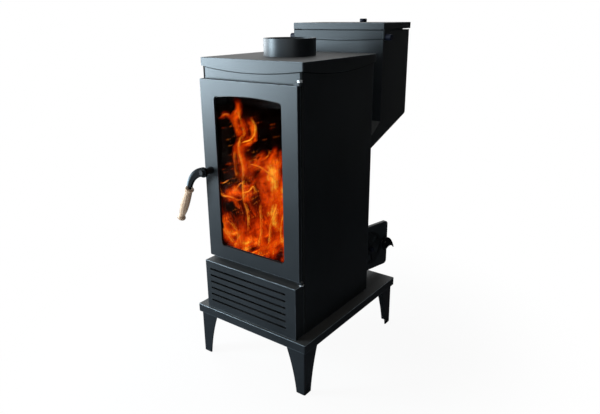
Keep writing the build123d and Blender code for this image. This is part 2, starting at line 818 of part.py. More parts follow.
def hinge_stack():
    r = hinge_pin_radius
    lugs, tabs, bolts = [], [], []
    for sign, face, head_height in ((1, door_high, hinge_head_height), (-1, door_low, hinge_low_head_height)):
        levels = [face, face + sign * lug_thick]
        levels.append(levels[-1] + sign * tab_gap)
        levels.append(levels[-1] + sign * tab_thick)
        levels.append(levels[-1] + sign * tab_gap)
        levels.append(levels[-1] + sign * head_height)

        def plate(inner_x, margin, y1, a, b):
            z0, z1 = sorted((a, b))
            block = slab(inner_x, hinge_x, hinge_y - margin, y1, z0, z1)
            return block + rod_z(hinge_x, hinge_y, margin, z0, z1)

        lug = plate(lug_inner_x, lug_margin, hinge_y + lug_margin, levels[0], levels[1])
        tab = plate(tab_inner_x, tab_margin, 0, levels[2], levels[3])
        z0, z1 = sorted((levels[0], levels[4]))
        shank = rod_z(hinge_x, hinge_y, r, z0, z1)
        z0, z1 = sorted((levels[4], levels[5]))
        head = flat(Pos(hinge_x, hinge_y) * hexagon(hinge_head_radius), z0, z1)
        span = (min(levels) - 1, max(levels) + 1)
        lugs.append(lug - rod_z(hinge_x, hinge_y, r, *span))
        tabs.append(tab - rod_z(hinge_x, hinge_y, r + running_gap, *span))
        bolts.append(shank + head)
    keep("hinge_lugs", *lugs)
    keep("hinge_tabs", *tabs)
    keep("hinge_bolts", *bolts)


def handle():
    sleeve = rod_y(spindle_x, spindle_z, sleeve_radius, sleeve_front, sleeve_rear)
    sleeve += rod_y(spindle_x, spindle_z, sleeve_flange, door_front - sleeve_flange_thick, door_front)
    sleeve -= rod_y(spindle_x, spindle_z, spindle_radius + running_gap, sleeve_front - 1, sleeve_rear + 1)
    keep("handle_sleeve", sleeve)

    bar_rear = sleeve_front - contact_gap
    bar_front = bar_rear - bar_thick
    rear_end = tongue_front + tongue_thick
    spindle = rod_y(spindle_x, spindle_z, spindle_radius, bar_front, rear_end)
    keep("latch_spindle", spindle)
    nut_face = Pos(spindle_x, spindle_z) * hexagon(spindle_nut_radius)
    front_nut = upright(nut_face, bar_front - spindle_nut_height, bar_front)
    front_nut = fillet(front_nut.faces().sort_by(Axis.Y)[0].edges(), 1.5)
    rear_nut = upright(nut_face, rear_end, rear_end + spindle_nut_height)
    keep("spindle_nuts", front_nut, rear_nut)

    outline = ThreePointArc(bar_outer_start, bar_outer_mid, bar_outer_end)
    outline += Line(bar_outer_end, bar_inner_end)
    outline += ThreePointArc(bar_inner_end, bar_inner_mid, bar_inner_start)
    outline += Line(bar_inner_start, bar_outer_start)
    blade = make_face(outline) + Pos(spindle_x, spindle_z) * Circle(bar_hub)
    bar = upright(blade, bar_front, bar_rear)
    bar = fillet(bar.faces().sort_by(Axis.Y)[0].edges(), bar_round)
    bar -= rod_y(spindle_x, spindle_z, spindle_radius, bar_front - 1, bar_rear + 1)
    tang_length = grip_length - grip_counterbore
    grip_plane = Plane(origin=(grip_top[0], (bar_front + bar_rear) / 2, grip_top[1]),
                       x_dir=(cos(radians(grip_lean)), 0, -sin(radians(grip_lean))),
                       z_dir=(-sin(radians(grip_lean)), 0, -cos(radians(grip_lean))))
    tang = extrude(grip_plane.offset(-6) * Circle(grip_tang_radius), amount=tang_length + 6)
    keep("handle_bar", bar + tang)

    outline = [(r * grip_radius, z * grip_length) for r, z in grip_profile]
    outline = [(0, outline[0][1])] + outline + [(0, grip_length)]
    turned = revolve(Plane.XZ * make_face(Polyline(*outline, close=True)), Axis.Z)
    bore = Cylinder(grip_tang_radius + running_gap, 2 * grip_length)
    turned -= bore
    turned -= Pos(0, 0, grip_length) * Cylinder(grip_counterbore_radius, 2 * grip_counterbore)
    keep("handle_grip", grip_plane.location * turned)
    nut = flat(hexagon(grip_counterbore_radius - 1) - Circle(grip_tang_radius + running_gap),
               tang_length - 4, tang_length)
    nut = Pos(0, 0, 4) * nut
    keep("grip_nut", grip_plane.location * nut)


def nose(x, z, hub, reach, width, angle):
    # A round hub with one straight, round-ended arm.
    arm = Pos(reach / 2, 0) * SlotOverall(reach + width, width)
    arm = Rot(0, 0, angle) * (Pos(-width / 4, 0) * arm)
    return Pos(x, z) * (Circle(hub) + arm)


def latch():
    face = nose(spindle_x, spindle_z, tongue_hub, tongue_reach - tongue_width / 2, tongue_width, tongue_angle)
    face -= Pos(spindle_x, spindle_z) * Circle(spindle_radius)
    keep("latch_tongue", upright(face, tongue_front, tongue_front + tongue_thick))
    keep("latch_keeper", slab(-inner_half + casing_bend, -fire_half_width, casing_sheet, casing_sheet + keeper_thick,
                              spindle_z - keeper_half_height, spindle_z + keeper_half_height))


# Ash pan

def ash_pan():
    w, s = pan_half_width, pan_sheet
    pan = slab(-w, w, pan_front, pan_rear, pan_low, pan_high)
    pan -= slab(-w + s, w - s, pan_front + s, pan_rear - s, pan_low + s, pan_high + 1)
    keep("ash_pan", pan)
    p, t = pull_half_width, pull_sheet
    pull = slab(-p, p, pan_rear, pan_rear + pull_depth, pull_low, pull_high)
    pull -= slab(-p + t, p - t, pan_rear - 1, pan_rear + pull_depth - t, pull_low - 1, pull_high + 1)
    keep("ash_pan_pull", pull)
    rails = []
    for side in (-1, 1):
        x0, x1 = sorted((side * rail_outer_x, side * (rail_outer_x - rail_width)))
        rail = slab(x0, x1, pan_front, rear_inner - floor_flange, base_top, pan_low)
        rail -= slab(x0 + rail_sheet, x1 - rail_sheet, pan_front - 1, rear_inner, base_top - 1,
                     pan_low - rail_sheet)
        rails.append(rail)
    keep("ash_pan_rails", *rails)


# Rear hatch

def swung(shape):
    # From shut against the rear panel to where the hatch stands open.
    there = Pos(hatch_hinge_x, hatch_hinge_y, 0)
    back = Pos(-hatch_hinge_x, -hatch_hinge_y, 0)
    return there * Rot(0, 0, -hatch_open_angle) * back * shape


hatch_front_y = hatch_hinge_y - hatch_thick / 2
hatch_rear_y = hatch_hinge_y + hatch_thick / 2
hatch_x0 = hatch_hinge_x - hatch_reach
hatch_x1 = hatch_hinge_x - hatch_start
hatch_mid_z = (hatch_low + hatch_high) / 2
hatch_spindle_x = hatch_hinge_x - hatch_spindle_s


def knuckle(z0, z1):
    return rod_z(hatch_hinge_x, hatch_hinge_y, knuckle_radius, z0, z1)


def vent_holes(turned=0.0):
    ring = Circle(vent_outer) - Circle(vent_inner)
    holes = Sketch()
    for i in range(vent_count):
        turn = i * 360 / vent_count + 90 + turned
        far = 2 * vent_outer
        wedge = [(0, 0)]
        for side in (-0.5, 0.5):
            angle = radians(turn + side * vent_sector)
            wedge.append((far * cos(angle), far * sin(angle)))
        holes += ring & make_face(Polyline(*wedge, close=True))
    return Pos(0, hatch_mid_z) * holes


def rear_hatch():
    leaf_face = rectangle(hatch_x0, hatch_x1, hatch_low, hatch_high, hatch_corner)
    leaf = upright(leaf_face, hatch_front_y, hatch_rear_y)
    leaf = fillet(leaf.faces().sort_by(Axis.Y)[-1].edges(), hatch_edge_round)
    s = hatch_sheet
    core = rectangle(hatch_x0 + s, hatch_x1 - s, hatch_low + s, hatch_high - s, hatch_corner - s)
    leaf -= upright(core, hatch_front_y - 1, hatch_rear_y - s)
    leaf -= upright(vent_holes(), hatch_front_y, hatch_rear_y + 1)
    leaf -= rod_y(0, hatch_mid_z, vent_pin_radius + running_gap, hatch_front_y, hatch_rear_y + 1)
    leaf -= rod_y(hatch_spindle_x, hatch_spindle_z, hatch_spindle_radius + running_gap,
                  hatch_front_y, hatch_rear_y + 1)
    pin_hole = rod_z(hatch_hinge_x, hatch_hinge_y, hatch_pin_radius + running_gap, hatch_low, hatch_high)
    for z in knuckle_centres:
        z0, z1 = z - knuckle_length / 2, z + knuckle_length / 2
        leaf += knuckle(z0, z1) + slab(hatch_x1 - 1, hatch_hinge_x, hatch_hinge_y - 1.5, hatch_hinge_y + 1.5,
                                       z0, z1)
    leaf -= pin_hole
    keep("rear_hatch", swung(leaf))

    brackets, pins = [], []
    for z in knuckle_centres:
        middle = knuckle_length / 2 + contact_gap
        bracket = slab(hatch_hinge_x - knuckle_radius, hatch_hinge_x + knuckle_radius,
                       body_depth, body_depth + 2, z - 2 * knuckle_length, z + 2 * knuckle_length)
        for sign in (-1, 1):
            z0, z1 = sorted((z + sign * middle, z + sign * (middle + knuckle_length * 0.7)))
            bracket += knuckle(z0, z1)
            bracket += slab(hatch_hinge_x - 1.5, hatch_hinge_x + 1.5, body_depth, hatch_hinge_y, z0, z1)
        brackets.append(bracket - pin_hole)
        length = middle + knuckle_length * 0.7 + 1.5
        pins.append(rod_z(hatch_hinge_x, hatch_hinge_y, hatch_pin_radius, z - length, z + length))
    keep("hatch_brackets", *brackets)
    keep("hatch_pins", *pins)

    inset = hatch_rope_inset
    outer = rectangle(hatch_x0 + inset, hatch_x1 - inset, hatch_low + inset, hatch_high - inset, 5)
    inset += hatch_rope_width
    inner = rectangle(hatch_x0 + inset, hatch_x1 - inset, hatch_low + inset, hatch_high - inset, 3)
    rope = upright(outer - inner, body_depth + contact_gap, hatch_rear_y - s)
    keep("hatch_gasket", swung(rope))


def air_vent():
    y0 = hatch_rear_y + contact_gap
    y1 = y0 + vent_disc
    disc = upright(Pos(0, hatch_mid_z) * Circle(vent_radius) - vent_holes(vent_shut_turn), y0, y1)
    disc -= rod_y(0, hatch_mid_z, vent_pin_radius + running_gap, y0 - 1, y1 + 1)
    keep("air_disc", swung(disc))
    r, h = vent_knob_radius, vent_knob_height
    knob = rod_y(0, hatch_mid_z, r, y1, y1 + h)
    knob = chamfer(knob.faces().sort_by(Axis.Y)[-1].edges(), 2)
    knob += rod_y(0, hatch_mid_z, vent_pin_radius, hatch_rear_y - hatch_sheet - 2, y1)
    keep("air_disc_knob", swung(knob))


def hatch_latch():
    x, z, r = hatch_spindle_x, hatch_spindle_z, hatch_spindle_radius
    lever_y = hatch_rear_y + hatch_lever_gap
    tongue_y1 = rear_inner - hatch_tongue_gap
    tongue_y0 = tongue_y1 - hatch_tongue_thick
    spindle = rod_y(x, z, r, tongue_y0, lever_y + hatch_lever_thick)
    spindle += rod_y(x, z, r + 3, hatch_rear_y + contact_gap, lever_y)
    keep("hatch_spindle", swung(spindle))
    brow, cheek, beak, chin = [(x - out, z + up) for out, up in hatch_lever_points]
    root = (x - hatch_lever_root[0], z + hatch_lever_root[1])
    corners = (root, brow, cheek, beak, chin, root)
    outline = Curve()
    for (out, up), start, end in zip(hatch_lever_bows, corners, corners[1:]):
        outline += ThreePointArc(start, (x - out, z + up), end)
    lever = upright(make_face(outline), lever_y, lever_y + hatch_lever_thick)
    lever -= rod_y(x, z, r, lever_y - 1, lever_y + hatch_lever_thick + 1)
    keep("hatch_lever", swung(lever))
    face = nose(x, z, r + 3, hatch_tongue_reach - hatch_tongue_width / 2, hatch_tongue_width, 90)
    face -= Pos(x, z) * Circle(r)
    keep("hatch_tongue", swung(upright(face, tongue_y0, tongue_y1)))


base_plate()
legs()
body_casing()
rear_panel()
top_cap()
flue_collar()
air_cover()
firebox_floor()
linings()
burn_pot()
inner_chute()
hopper_shell()
hopper_top_frame()
chute_flange()
lid()
lid_pivots()
door_shell()
door_seals()
door_glazing()
hinge_stack()
handle()
latch()
ash_pan()
rear_hatch()
air_vent()
hatch_latch()

# The part's own origin is on the floor, under the middle of its outer box.
everything = Compound(children=[solid for group in pieces.values() for solid in group])
box = everything.bounding_box()
origin = Pos(-(box.min.X + box.max.X) / 2, -(box.min.Y + box.max.Y) / 2, -box.min.Z)

for name, group in pieces.items():
    solids = [solid for shape in group for solid in (origin * shape).solids()]
    shape = solids[0] if len(solids) == 1 else Compound(children=solids)
    export_step(shape, os.path.join("parts", name + ".step"))
print("nodes", len(pieces), "origin shift", origin.position)
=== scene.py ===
import json
import math
import random

import bpy
from mathutils import Matrix, Vector


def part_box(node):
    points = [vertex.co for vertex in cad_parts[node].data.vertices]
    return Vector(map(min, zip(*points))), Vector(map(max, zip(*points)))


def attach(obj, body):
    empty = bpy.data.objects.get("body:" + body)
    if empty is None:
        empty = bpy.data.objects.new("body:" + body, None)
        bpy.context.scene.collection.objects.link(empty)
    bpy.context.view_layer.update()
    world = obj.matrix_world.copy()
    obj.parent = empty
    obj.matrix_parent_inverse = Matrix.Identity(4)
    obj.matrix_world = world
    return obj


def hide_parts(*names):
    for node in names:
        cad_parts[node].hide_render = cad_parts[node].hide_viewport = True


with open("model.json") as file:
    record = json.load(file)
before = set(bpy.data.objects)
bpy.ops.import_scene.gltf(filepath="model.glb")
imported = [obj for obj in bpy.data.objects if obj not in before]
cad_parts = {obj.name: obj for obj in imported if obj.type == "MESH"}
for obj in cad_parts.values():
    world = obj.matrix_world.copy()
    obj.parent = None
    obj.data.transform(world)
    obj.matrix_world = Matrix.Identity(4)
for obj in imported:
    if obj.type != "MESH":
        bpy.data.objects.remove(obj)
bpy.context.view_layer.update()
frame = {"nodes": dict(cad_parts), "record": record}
nodes = frame["nodes"]
print("frame loaded:", len(nodes), "nodes")

# The drawing's own millimetres: x from the middle of the casing, y from its front face, z from the floor.
capLow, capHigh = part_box("top_cap")
capOverhang = 0.0035
middleX = (capLow.x + capHigh.x) / 2
frontY = capLow.y + capOverhang


def at(x, y, z):
    return Vector((middleX + x / 1000, frontY + y / 1000, z / 1000))


# Camera, where the photographer stood
viewer = {"place": (999.68, -1120.72, 1044.76), "turn": 36.774, "tilt": -18.813, "roll": -0.542,
          "lens": 33.23, "shiftX": 0.00049, "shiftY": -0.0048, "sensor": 36, "nearest": 0.05, "farthest": 60}


def linked(name, data):
    thing = bpy.data.objects.new(name, data)
    bpy.context.scene.collection.objects.link(thing)
    return thing


def placeCamera():
    turn, tilt, roll = (math.radians(viewer[key]) for key in ("turn", "tilt", "roll"))
    ahead = Vector((-math.sin(turn) * math.cos(tilt), math.cos(turn) * math.cos(tilt), math.sin(tilt)))
    across = Vector((math.cos(turn), math.sin(turn), 0))
    above = across.cross(ahead)
    right = across * math.cos(roll) + above * math.sin(roll)
    up = above * math.cos(roll) - across * math.sin(roll)
    lens = bpy.data.cameras.new("viewCamera")
    lens.sensor_width = viewer["sensor"]
    lens.lens = viewer["lens"]
    lens.shift_x, lens.shift_y = viewer["shiftX"], viewer["shiftY"]
    lens.clip_start, lens.clip_end = viewer["nearest"], viewer["farthest"]
    camera = linked("viewCamera", lens)
    turned = Matrix((right, up, -ahead)).transposed().to_4x4()
    camera.matrix_world = Matrix.Translation(at(*viewer["place"])) @ turned
    bpy.context.scene.camera = camera


placeCamera()
bpy.context.scene.view_settings.view_transform = "Standard"
print("camera placed")


class Wire:
    # One output of a shader node, so that shader maths reads as plain expressions.
    def __init__(self, paint, output):
        self.paint = paint
        self.output = output

    def sum(self, kind, first, second=0.0, limit=False):
        return self.paint.add("ShaderNodeMath", {"operation": kind, "use_clamp": limit}, {0: first, 1: second})

    def __add__(self, other):
        return self.sum("ADD", self, other)

    def __sub__(self, other):
        return self.sum("SUBTRACT", self, other)

    def __rsub__(self, other):
        return self.sum("SUBTRACT", other, self)

    def __mul__(self, other):
        return self.sum("MULTIPLY", self, other)

    def __truediv__(self, other):
        return self.sum("DIVIDE", self, other)

    def __pow__(self, other):
        return self.sum("POWER", self, other)

    def __abs__(self):
        return self.sum("ABSOLUTE", self)

    __radd__ = __add__
    __rmul__ = __mul__

    def least(self, other):
        return self.sum("MINIMUM", self, other)

    def most(self, other):
        return self.sum("MAXIMUM", self, other)

    def sine(self):
        return self.sum("SINE", self)

    def held(self):
        return self.sum("MULTIPLY", self, 1.0, True)

    def eased(self, low, high, start=0.0, end=1.0):
        sockets = {"Value": self, "From Min": low, "From Max": high, "To Min": start, "To Max": end}
        return self.paint.add("ShaderNodeMapRange", {"interpolation_type": "SMOOTHSTEP"}, sockets)


class Paint:
    # Builds one material, or the world. A node is its type, its settings and its sockets' values or links.
    def __init__(self, holder):
        self.holder = bpy.data.materials.new(holder) if isinstance(holder, str) else holder
        self.holder.use_nodes = True
        self.tree = self.holder.node_tree
        self.tree.nodes.clear()

    def add(self, kind, settings=None, sockets=None, output=0):
        node = self.tree.nodes.new(kind)
        for key, value in (settings or {}).items():
            if key == "stops":
                ramp = node.color_ramp.elements
                while len(ramp) < len(value):
                    ramp.new(0.5)
                for element, (place, colour) in zip(ramp, value):
                    element.position = place
                    element.color = (*colour, 1)
            else:
                setattr(node, key, value)
        for key, value in (sockets or {}).items():
            if isinstance(value, Wire):
                self.tree.links.new(value.output, node.inputs[key])
            else:
                node.inputs[key].default_value = value
        return Wire(self, node.outputs[output])

    def place(self):
        return self.add("ShaderNodeTexCoord", output="Object")

    def facing(self, axis):
        # How far the surface faces along x, y or z, in the piece's own axes.
        normal = self.add("ShaderNodeTexCoord", output="Normal")
        return self.add("ShaderNodeSeparateXYZ", sockets={0: normal}, output=axis)

    def along(self, axis, place=None):
        return self.add("ShaderNodeSeparateXYZ", sockets={0: place or self.place()}, output=axis)

    def joined(self, x, y, z):
        return self.add("ShaderNodeCombineXYZ", sockets={0: x, 1: y, 2: z})

    def cloud(self, scale, detail=2.0, roughness=0.5, distortion=0.0, place=None):
        sockets = {"Vector": place or self.place(), "Scale": scale, "Detail": detail,
                   "Roughness": roughness, "Distortion": distortion}
        return self.add("ShaderNodeTexNoise", sockets=sockets)

    def cells(self, scale):
        return self.add("ShaderNodeTexVoronoi", sockets={"Vector": self.place(), "Scale": scale})

    def mixed(self, amount, first, second):
        first, second = (c if isinstance(c, Wire) else (*c, 1) for c in (first, second))
        return self.add("ShaderNodeMix", {"data_type": "RGBA"}, {0: amount, 6: first, 7: second}, 2)

    def ray(self, kind):
        return self.add("ShaderNodeLightPath", output="Is %s Ray" % kind)

    def ramp(self, amount, stops):
        return self.add("ShaderNodeValToRGB", {"stops": stops}, {0: amount})

    def bumped(self, height, depth, strength):
        sockets = {"Height": height, "Distance": depth, "Strength": strength}
        return self.add("ShaderNodeBump", sockets=sockets)

    def surface(self, **sockets):
        # The main shader, with each socket named in camelCase.
        named = {"baseColor": "Base Color", "coatWeight": "Coat Weight", "coatRoughness": "Coat Roughness",
                 "specular": "Specular IOR Level", "specularTint": "Specular Tint", "ior": "IOR",
                 "emission": "Emission Color", "glow": "Emission Strength",
                 "transmission": "Transmission Weight", "sheen": "Sheen Weight"}
        values = {}
        for key, value in sockets.items():
            if isinstance(value, tuple) and len(value) == 3:
                value = (*value, 1)
            values[named.get(key, key.capitalize())] = value
        return self.add("ShaderNodeBsdfPrincipled", sockets=values)

    def done(self, shader, end="ShaderNodeOutputMaterial"):
        self.tree.links.new(shader.output, self.tree.nodes.new(end).inputs[0])
        return self.holder

    def coat(self, **sockets):
        return self.done(self.surface(**sockets))


def wearing(thing, material):
    if not thing.material_slots:
        thing.data.materials.append(material)
    for slot in thing.material_slots:
        slot.material = material
    return thing


# Studio: a white floor, a large cool softbox at the left front, a rim light behind it, a weak warm light
# above, and black cards that only the stove's gloss sees
studio = {"world": (1.0, 1.0, 1.0), "fill": 0.09, "floor": (0.9, 0.9, 0.9), "floorShade": 0.985,
          "floorHalf": 9.0, "mirroredFloor": (0.10, 0.10, 0.11),
          "whiteFrom": 0.4, "whiteTo": 1.0, "whiteNear": 0.94, "mirrorFrom": 1.4, "mirrorTo": 3.6}
lights = {
    "keyBox": {"place": (-1860, -1520, 960), "aim": (-60, 60, 720), "size": 0.9, "power": 96,
               "colour": (0.78, 0.91, 1.0)},
    "rimBox": {"place": (-2350, 330, 1150), "aim": (0, 150, 950), "size": 1.6, "power": 52,
               "colour": (0.86, 0.94, 1.0)},
    "topBox": {"place": (-100, 500, 2700), "aim": (0, 200, 900), "size": 1.6, "power": 6,
               "colour": (1.0, 0.93, 0.84)},
}
# A card: two ends of its foot, its lower and upper edge
cards = {"rightCard": ((600, -260), (600, 3600), 3, 2600), "leftCard": ((-3300, -900), (-700, -3500), 3, 2600)}


def softbox(name, look):
    lamp = bpy.data.lights.new(name, "AREA")
    lamp.shape = "SQUARE"
    lamp.size = look["size"]
    lamp.energy = look["power"]
    lamp.color = look["colour"]
    holder = linked(name, lamp)
    holder.location = at(*look["place"])
    holder.rotation_euler = (at(*look["aim"]) - at(*look["place"])).to_track_quat("-Z", "Y").to_euler()


def buildMesh(name, points, faces, smooth=True):
    mesh = bpy.data.meshes.new(name)
    mesh.from_pydata([tuple(p) for p in points], [], faces)
    mesh.validate()
    mesh.update()
    if smooth:
        mesh.shade_smooth()
    return linked(name, mesh)


def worldPaint():
    # White wherever it is seen, but only a little light on the stove.
    world = bpy.data.worlds.new("studioWorld")
    bpy.context.scene.world = world
    air = Paint(world)
    shown = air.ray("Camera").most(air.ray("Glossy")).most(air.ray("Transmission"))
    strength = shown * (1 - studio["fill"]) + studio["fill"]
    light = air.add("ShaderNodeBackground", sockets={0: (*studio["world"], 1), 1: strength})
    air.done(light, "ShaderNodeOutputWorld")


def floorPaint():
    # Pale board that goes over to pure white further off; gloss sees it darker near by.
    paint = Paint("paleFloor")
    far = paint.add("ShaderNodeVectorMath", {"operation": "LENGTH"}, {0: paint.place()}, "Value")
    shade = tuple(c * studio["floorShade"] for c in studio["floor"])
    tone = paint.mixed(paint.cloud(3.0, 3.0), studio["floor"], shade)
    glow = paint.add("ShaderNodeEmission", sockets={0: (1, 1, 1, 1), 1: 1.0})
    mirrored = paint.ray("Glossy")
    white = paint.ray("Camera") * far.eased(studio["whiteFrom"], studio["whiteTo"], studio["whiteNear"], 1.0)
    distant = far.eased(studio["mirrorFrom"], studio["mirrorTo"])
    tone = paint.mixed(mirrored * (1 - distant), tone, studio["mirroredFloor"])
    board = paint.surface(baseColor=tone, roughness=0.8, specular=0.2)
    white = white.most(mirrored * distant)
    return paint.done(paint.add("ShaderNodeMixShader", sockets={0: white, 1: board, 2: glow}))


def feltPaint():
    look = {"tone": (0.002, 0.002, 0.002), "nap": (0.004, 0.004, 0.004)}
    paint = Paint("blackFelt")
    tone = paint.mixed(paint.cloud(60.0), look["tone"], look["nap"])
    return paint.coat(baseColor=tone, roughness=0.9, specular=0.0)


def flatSheet(name, corners, material):
    return wearing(buildMesh(name, corners, [(0, 1, 2, 3)], False), material)


def setStudio():
    worldPaint()
    felt = feltPaint()
    half = studio["floorHalf"]
    corners = [(-half, -half, 0), (half, -half, 0), (half, half, 0), (-half, half, 0)]
    floor = flatSheet("studioFloor", corners, floorPaint())
    for name, ((x0, y0), (x1, y1), low, high) in cards.items():
        corners = [at(x0, y0, low), at(x1, y1, low), at(x1, y1, high), at(x0, y0, high)]
        card = flatSheet(name, corners, felt)
        card.visible_camera = card.visible_shadow = False
        card.visible_diffuse = card.visible_transmission = False
    for name, look in lights.items():
        softbox(name, look)


setStudio()
print("studio set")

# Heat-proof stove paint: satin, a fine grain, cloudy where it has been baked, dust on what faces up, a thin
# painted highlight along each outer edge, in patches like worn paint, and painted shade under the bowed edges
# of the cap and the hopper's band. A cloud is its scale, detail, roughness and distortion.
stovePaintLook = {
    "tone": (0.0122, 0.0150, 0.0178), "deep": (0.0085, 0.0108, 0.0128), "bake": (7.0, 4.0, 0.55),
    "dust": (0.052, 0.047, 0.040), "dustAmount": 0.5, "speck": (260.0, 2.0),
    # Painted highlight along the outer edges, patchy like wear: its tone, width and strength
    "highlightTone": (0.26, 0.31, 0.35), "highlightWidth": 0.0012, "highlightAmount": 0.85, "patch": (38.0, 3.0, 0.6),
    "roughness": 0.42, "specular": 0.50, "tint": (0.86, 0.94, 0.98),
    "fineGrain": (900.0, 2.0, 0.6), "coarseGrain": (120.0, 2.0), "grainDepth": 0.00006,
    # Painted shade: its tone, how far it reaches below an edge, and how much rougher it makes the paint
    "paintedShade": (0.0015, 0.0018, 0.002), "shadeDrop": 0.0034, "shadeRoughness": 0.6,
    "shutSide": (0.1655, 0.1665), "shutTop": (0.9275, 0.9285)}
# Nodes whose paint is paler than the rest, or has another share of its shine
paler = {"flue_collar": 2.2, "rear_hatch": 2.4, "hatch_brackets": 2.0}
shine = {"hopper_shell": 0.6, "hopper_lid": 0.6, "hopper_top_frame": 0.5, "leg_front_left": 0.55,
         "flue_collar": 1.15}
plainEdges = ("leg_front_left", "leg_front_right", "leg_rear_left", "leg_rear_right", "flue_collar",
              "air_disc", "rear_hatch", "hinge_lugs", "hinge_tabs", "hatch_brackets", "hopper_shell")
# A piece's bowed edges: the axis along which one runs, its half length, the heights of its ends and middle,
# and the axis and side to which the face with painted shade looks
bowedEdges = {
    "body_casing": ((0, 0.179, 915.0, 902.0, 1, -1), (1, 0.1825, 915.0, 900.0, 0, 1)),
    "hopper_shell": ((0, 0.1655, 976.0, 971.0, 1, -1),),
}


def shadeUnderEdge(paint, place, name):
    # How deep a spot lies in the painted shade under the piece's bowed edges.
    drop = stovePaintLook["shadeDrop"]
    low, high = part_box("top_cap" if name == "body_casing" else name)
    paintedShade = None
    for axis, half, ends, middle, faces, side in bowedEdges[name]:
        centre = (low[axis] + high[axis]) / 2
        share = (paint.along(axis, place) - centre) / half
        edge = (1 - share * share) * ((middle - ends) / 1000) + ends / 1000
        below = edge - paint.along(2, place)
        band = below.eased(-0.0008, 0.0002) * (1 - below.eased(drop * 0.35, drop))
        turned = (paint.facing(faces) * side).eased(0.6, 0.9)
        paintedShade = band * turned if paintedShade is None else paintedShade.most(band * turned)
    return paintedShade


def edgeHighlight(paint, place, low, high):
    # Near an outer edge a spot is close to two of the piece's sides at once. There the paint gets a painted
    # highlight, broken into patches like worn paint and strongest on edges that face up.
    look = stovePaintLook
    gaps = []
    for axis in range(3):
        middle, half = (low[axis] + high[axis]) / 2, (high[axis] - low[axis]) / 2
        gaps.append(half - abs(paint.along(axis, place) - middle))
    second = gaps[0].least(gaps[1]).most(gaps[0].most(gaps[1]).least(gaps[2]))
    patchy = paint.cloud(*look["patch"], place=place).eased(0.32, 0.62, 0.35, 1.0)
    upper = paint.facing(2).eased(0.0, 0.35, 0.3, 1.0)
    return (1 - second.eased(look["highlightWidth"] * 0.4, look["highlightWidth"] * 1.8)) * patchy * upper


def stovePaint(name):
    look = stovePaintLook
    low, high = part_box(name)
    paint = Paint("stovePaint_" + name)
    place = paint.place()
    bake = paint.cloud(*look["bake"], place=place)
    speck = paint.cloud(*look["speck"], place=place)
    tone = paint.mixed(bake.eased(0.3, 0.7), look["deep"], look["tone"])
    up = paint.facing(2).eased(0.55, 0.98)
    settled = up * bake.eased(0.25, 0.75, 0.6, 1.0) * (speck * 0.5 + 0.7) * look["dustAmount"]
    tone = paint.mixed(settled.held(), tone, look["dust"])
    rough = bake * 0.10 + (look["roughness"] - 0.05) + up * 0.12
    if name not in plainEdges:
        # Painted highlight along the outer edges, in patches like worn paint
        paintedHighlight = edgeHighlight(paint, place, low, high)
        tone = paint.mixed(paintedHighlight * look["highlightAmount"], tone, look["highlightTone"])
        rough = rough - paintedHighlight * 0.12
    if name in paler:
        tone = paint.add("ShaderNodeVectorMath", {"operation": "SCALE"}, {0: tone, "Scale": paler[name]})
    # Masks of painted shade: under the bowed edges, and on the casing beside the door
    shadedSpots = [shadeUnderEdge(paint, place, name)] if name in bowedEdges else []
    if name == "body_casing":
        # The shut line: painted shade on the casing's front behind and beside the door's edge, where the door
        # shades it.
        edge = abs(paint.along(0, place) - (low[0] + high[0]) / 2).eased(*look["shutSide"])
        lower = 1 - paint.along(2, place).eased(*look["shutTop"])
        shadedSpots.append(edge * lower * (-1 * paint.facing(1)).eased(0.03, 0.1))
    # Each painted shade darkens the paint and makes it rougher
    for paintedShade in shadedSpots:
        tone = paint.mixed(paintedShade, tone, look["paintedShade"])
        rough = rough + paintedShade * look["shadeRoughness"]
    grain = paint.cloud(*look["fineGrain"], place=place) + paint.cloud(*look["coarseGrain"], place=place) * 1.5
    return paint.coat(baseColor=tone, roughness=rough.held(),
                      specular=look["specular"] * shine.get(name, 1.0),
                      specularTint=look["tint"], normal=paint.bumped(grain, look["grainDepth"], 0.55))


# Finishes of two tones in soft patches, which begin and end between two values of the cloud and add the
# second value of rough to the first
patchyLooks = {
    "gloss_black": {"name": "glossBlack", "tones": ((0.008, 0.008, 0.009), (0.014, 0.014, 0.014)),
                    "patch": (22.0, 4.0, 0.6), "between": (0.45, 0.75), "rough": (0.16, 0.14),
                    "dimples": 160.0, "bump": (0.00008, 0.3), "coatWeight": 0.4, "coatRoughness": 0.08},
    # Zinc made pale and largely diffuse: bright plating, with a painted glint so the bolt heads read white
    "zinc": {"name": "zincPlate", "tones": ((0.86, 0.88, 0.90), (0.66, 0.66, 0.66)),
             "patch": (140.0, 3.0, 0.6), "between": (0.4, 0.7), "rough": (0.2, 0.18),
             "spangle": 420.0, "bump": (0.00005, 0.2), "metallic": 0.35},
    "black_plastic": {"name": "blackPlastic", "tones": ((0.006, 0.009, 0.022), (0.012, 0.017, 0.034)),
                      "patch": (50.0, 3.0), "between": (0.5, 0.75), "rough": (0.5, 0.1),
                      "spangle": 900.0, "bump": (0.00012, 0.3), "specular": 0.2},
}


def patchyFinish(name, tones, patch, between, rough, dimples=None, spangle=None, bump=None, **sockets):
    paint = Paint(name)
    patches = paint.cloud(*patch).eased(*between)
    if bump:
        sockets["normal"] = paint.bumped(paint.cells(spangle) if spangle else paint.cloud(dimples), *bump)
    tone = paint.mixed(patches, *tones)
    return paint.coat(baseColor=tone, roughness=patches * rough[1] + rough[0], **sockets)


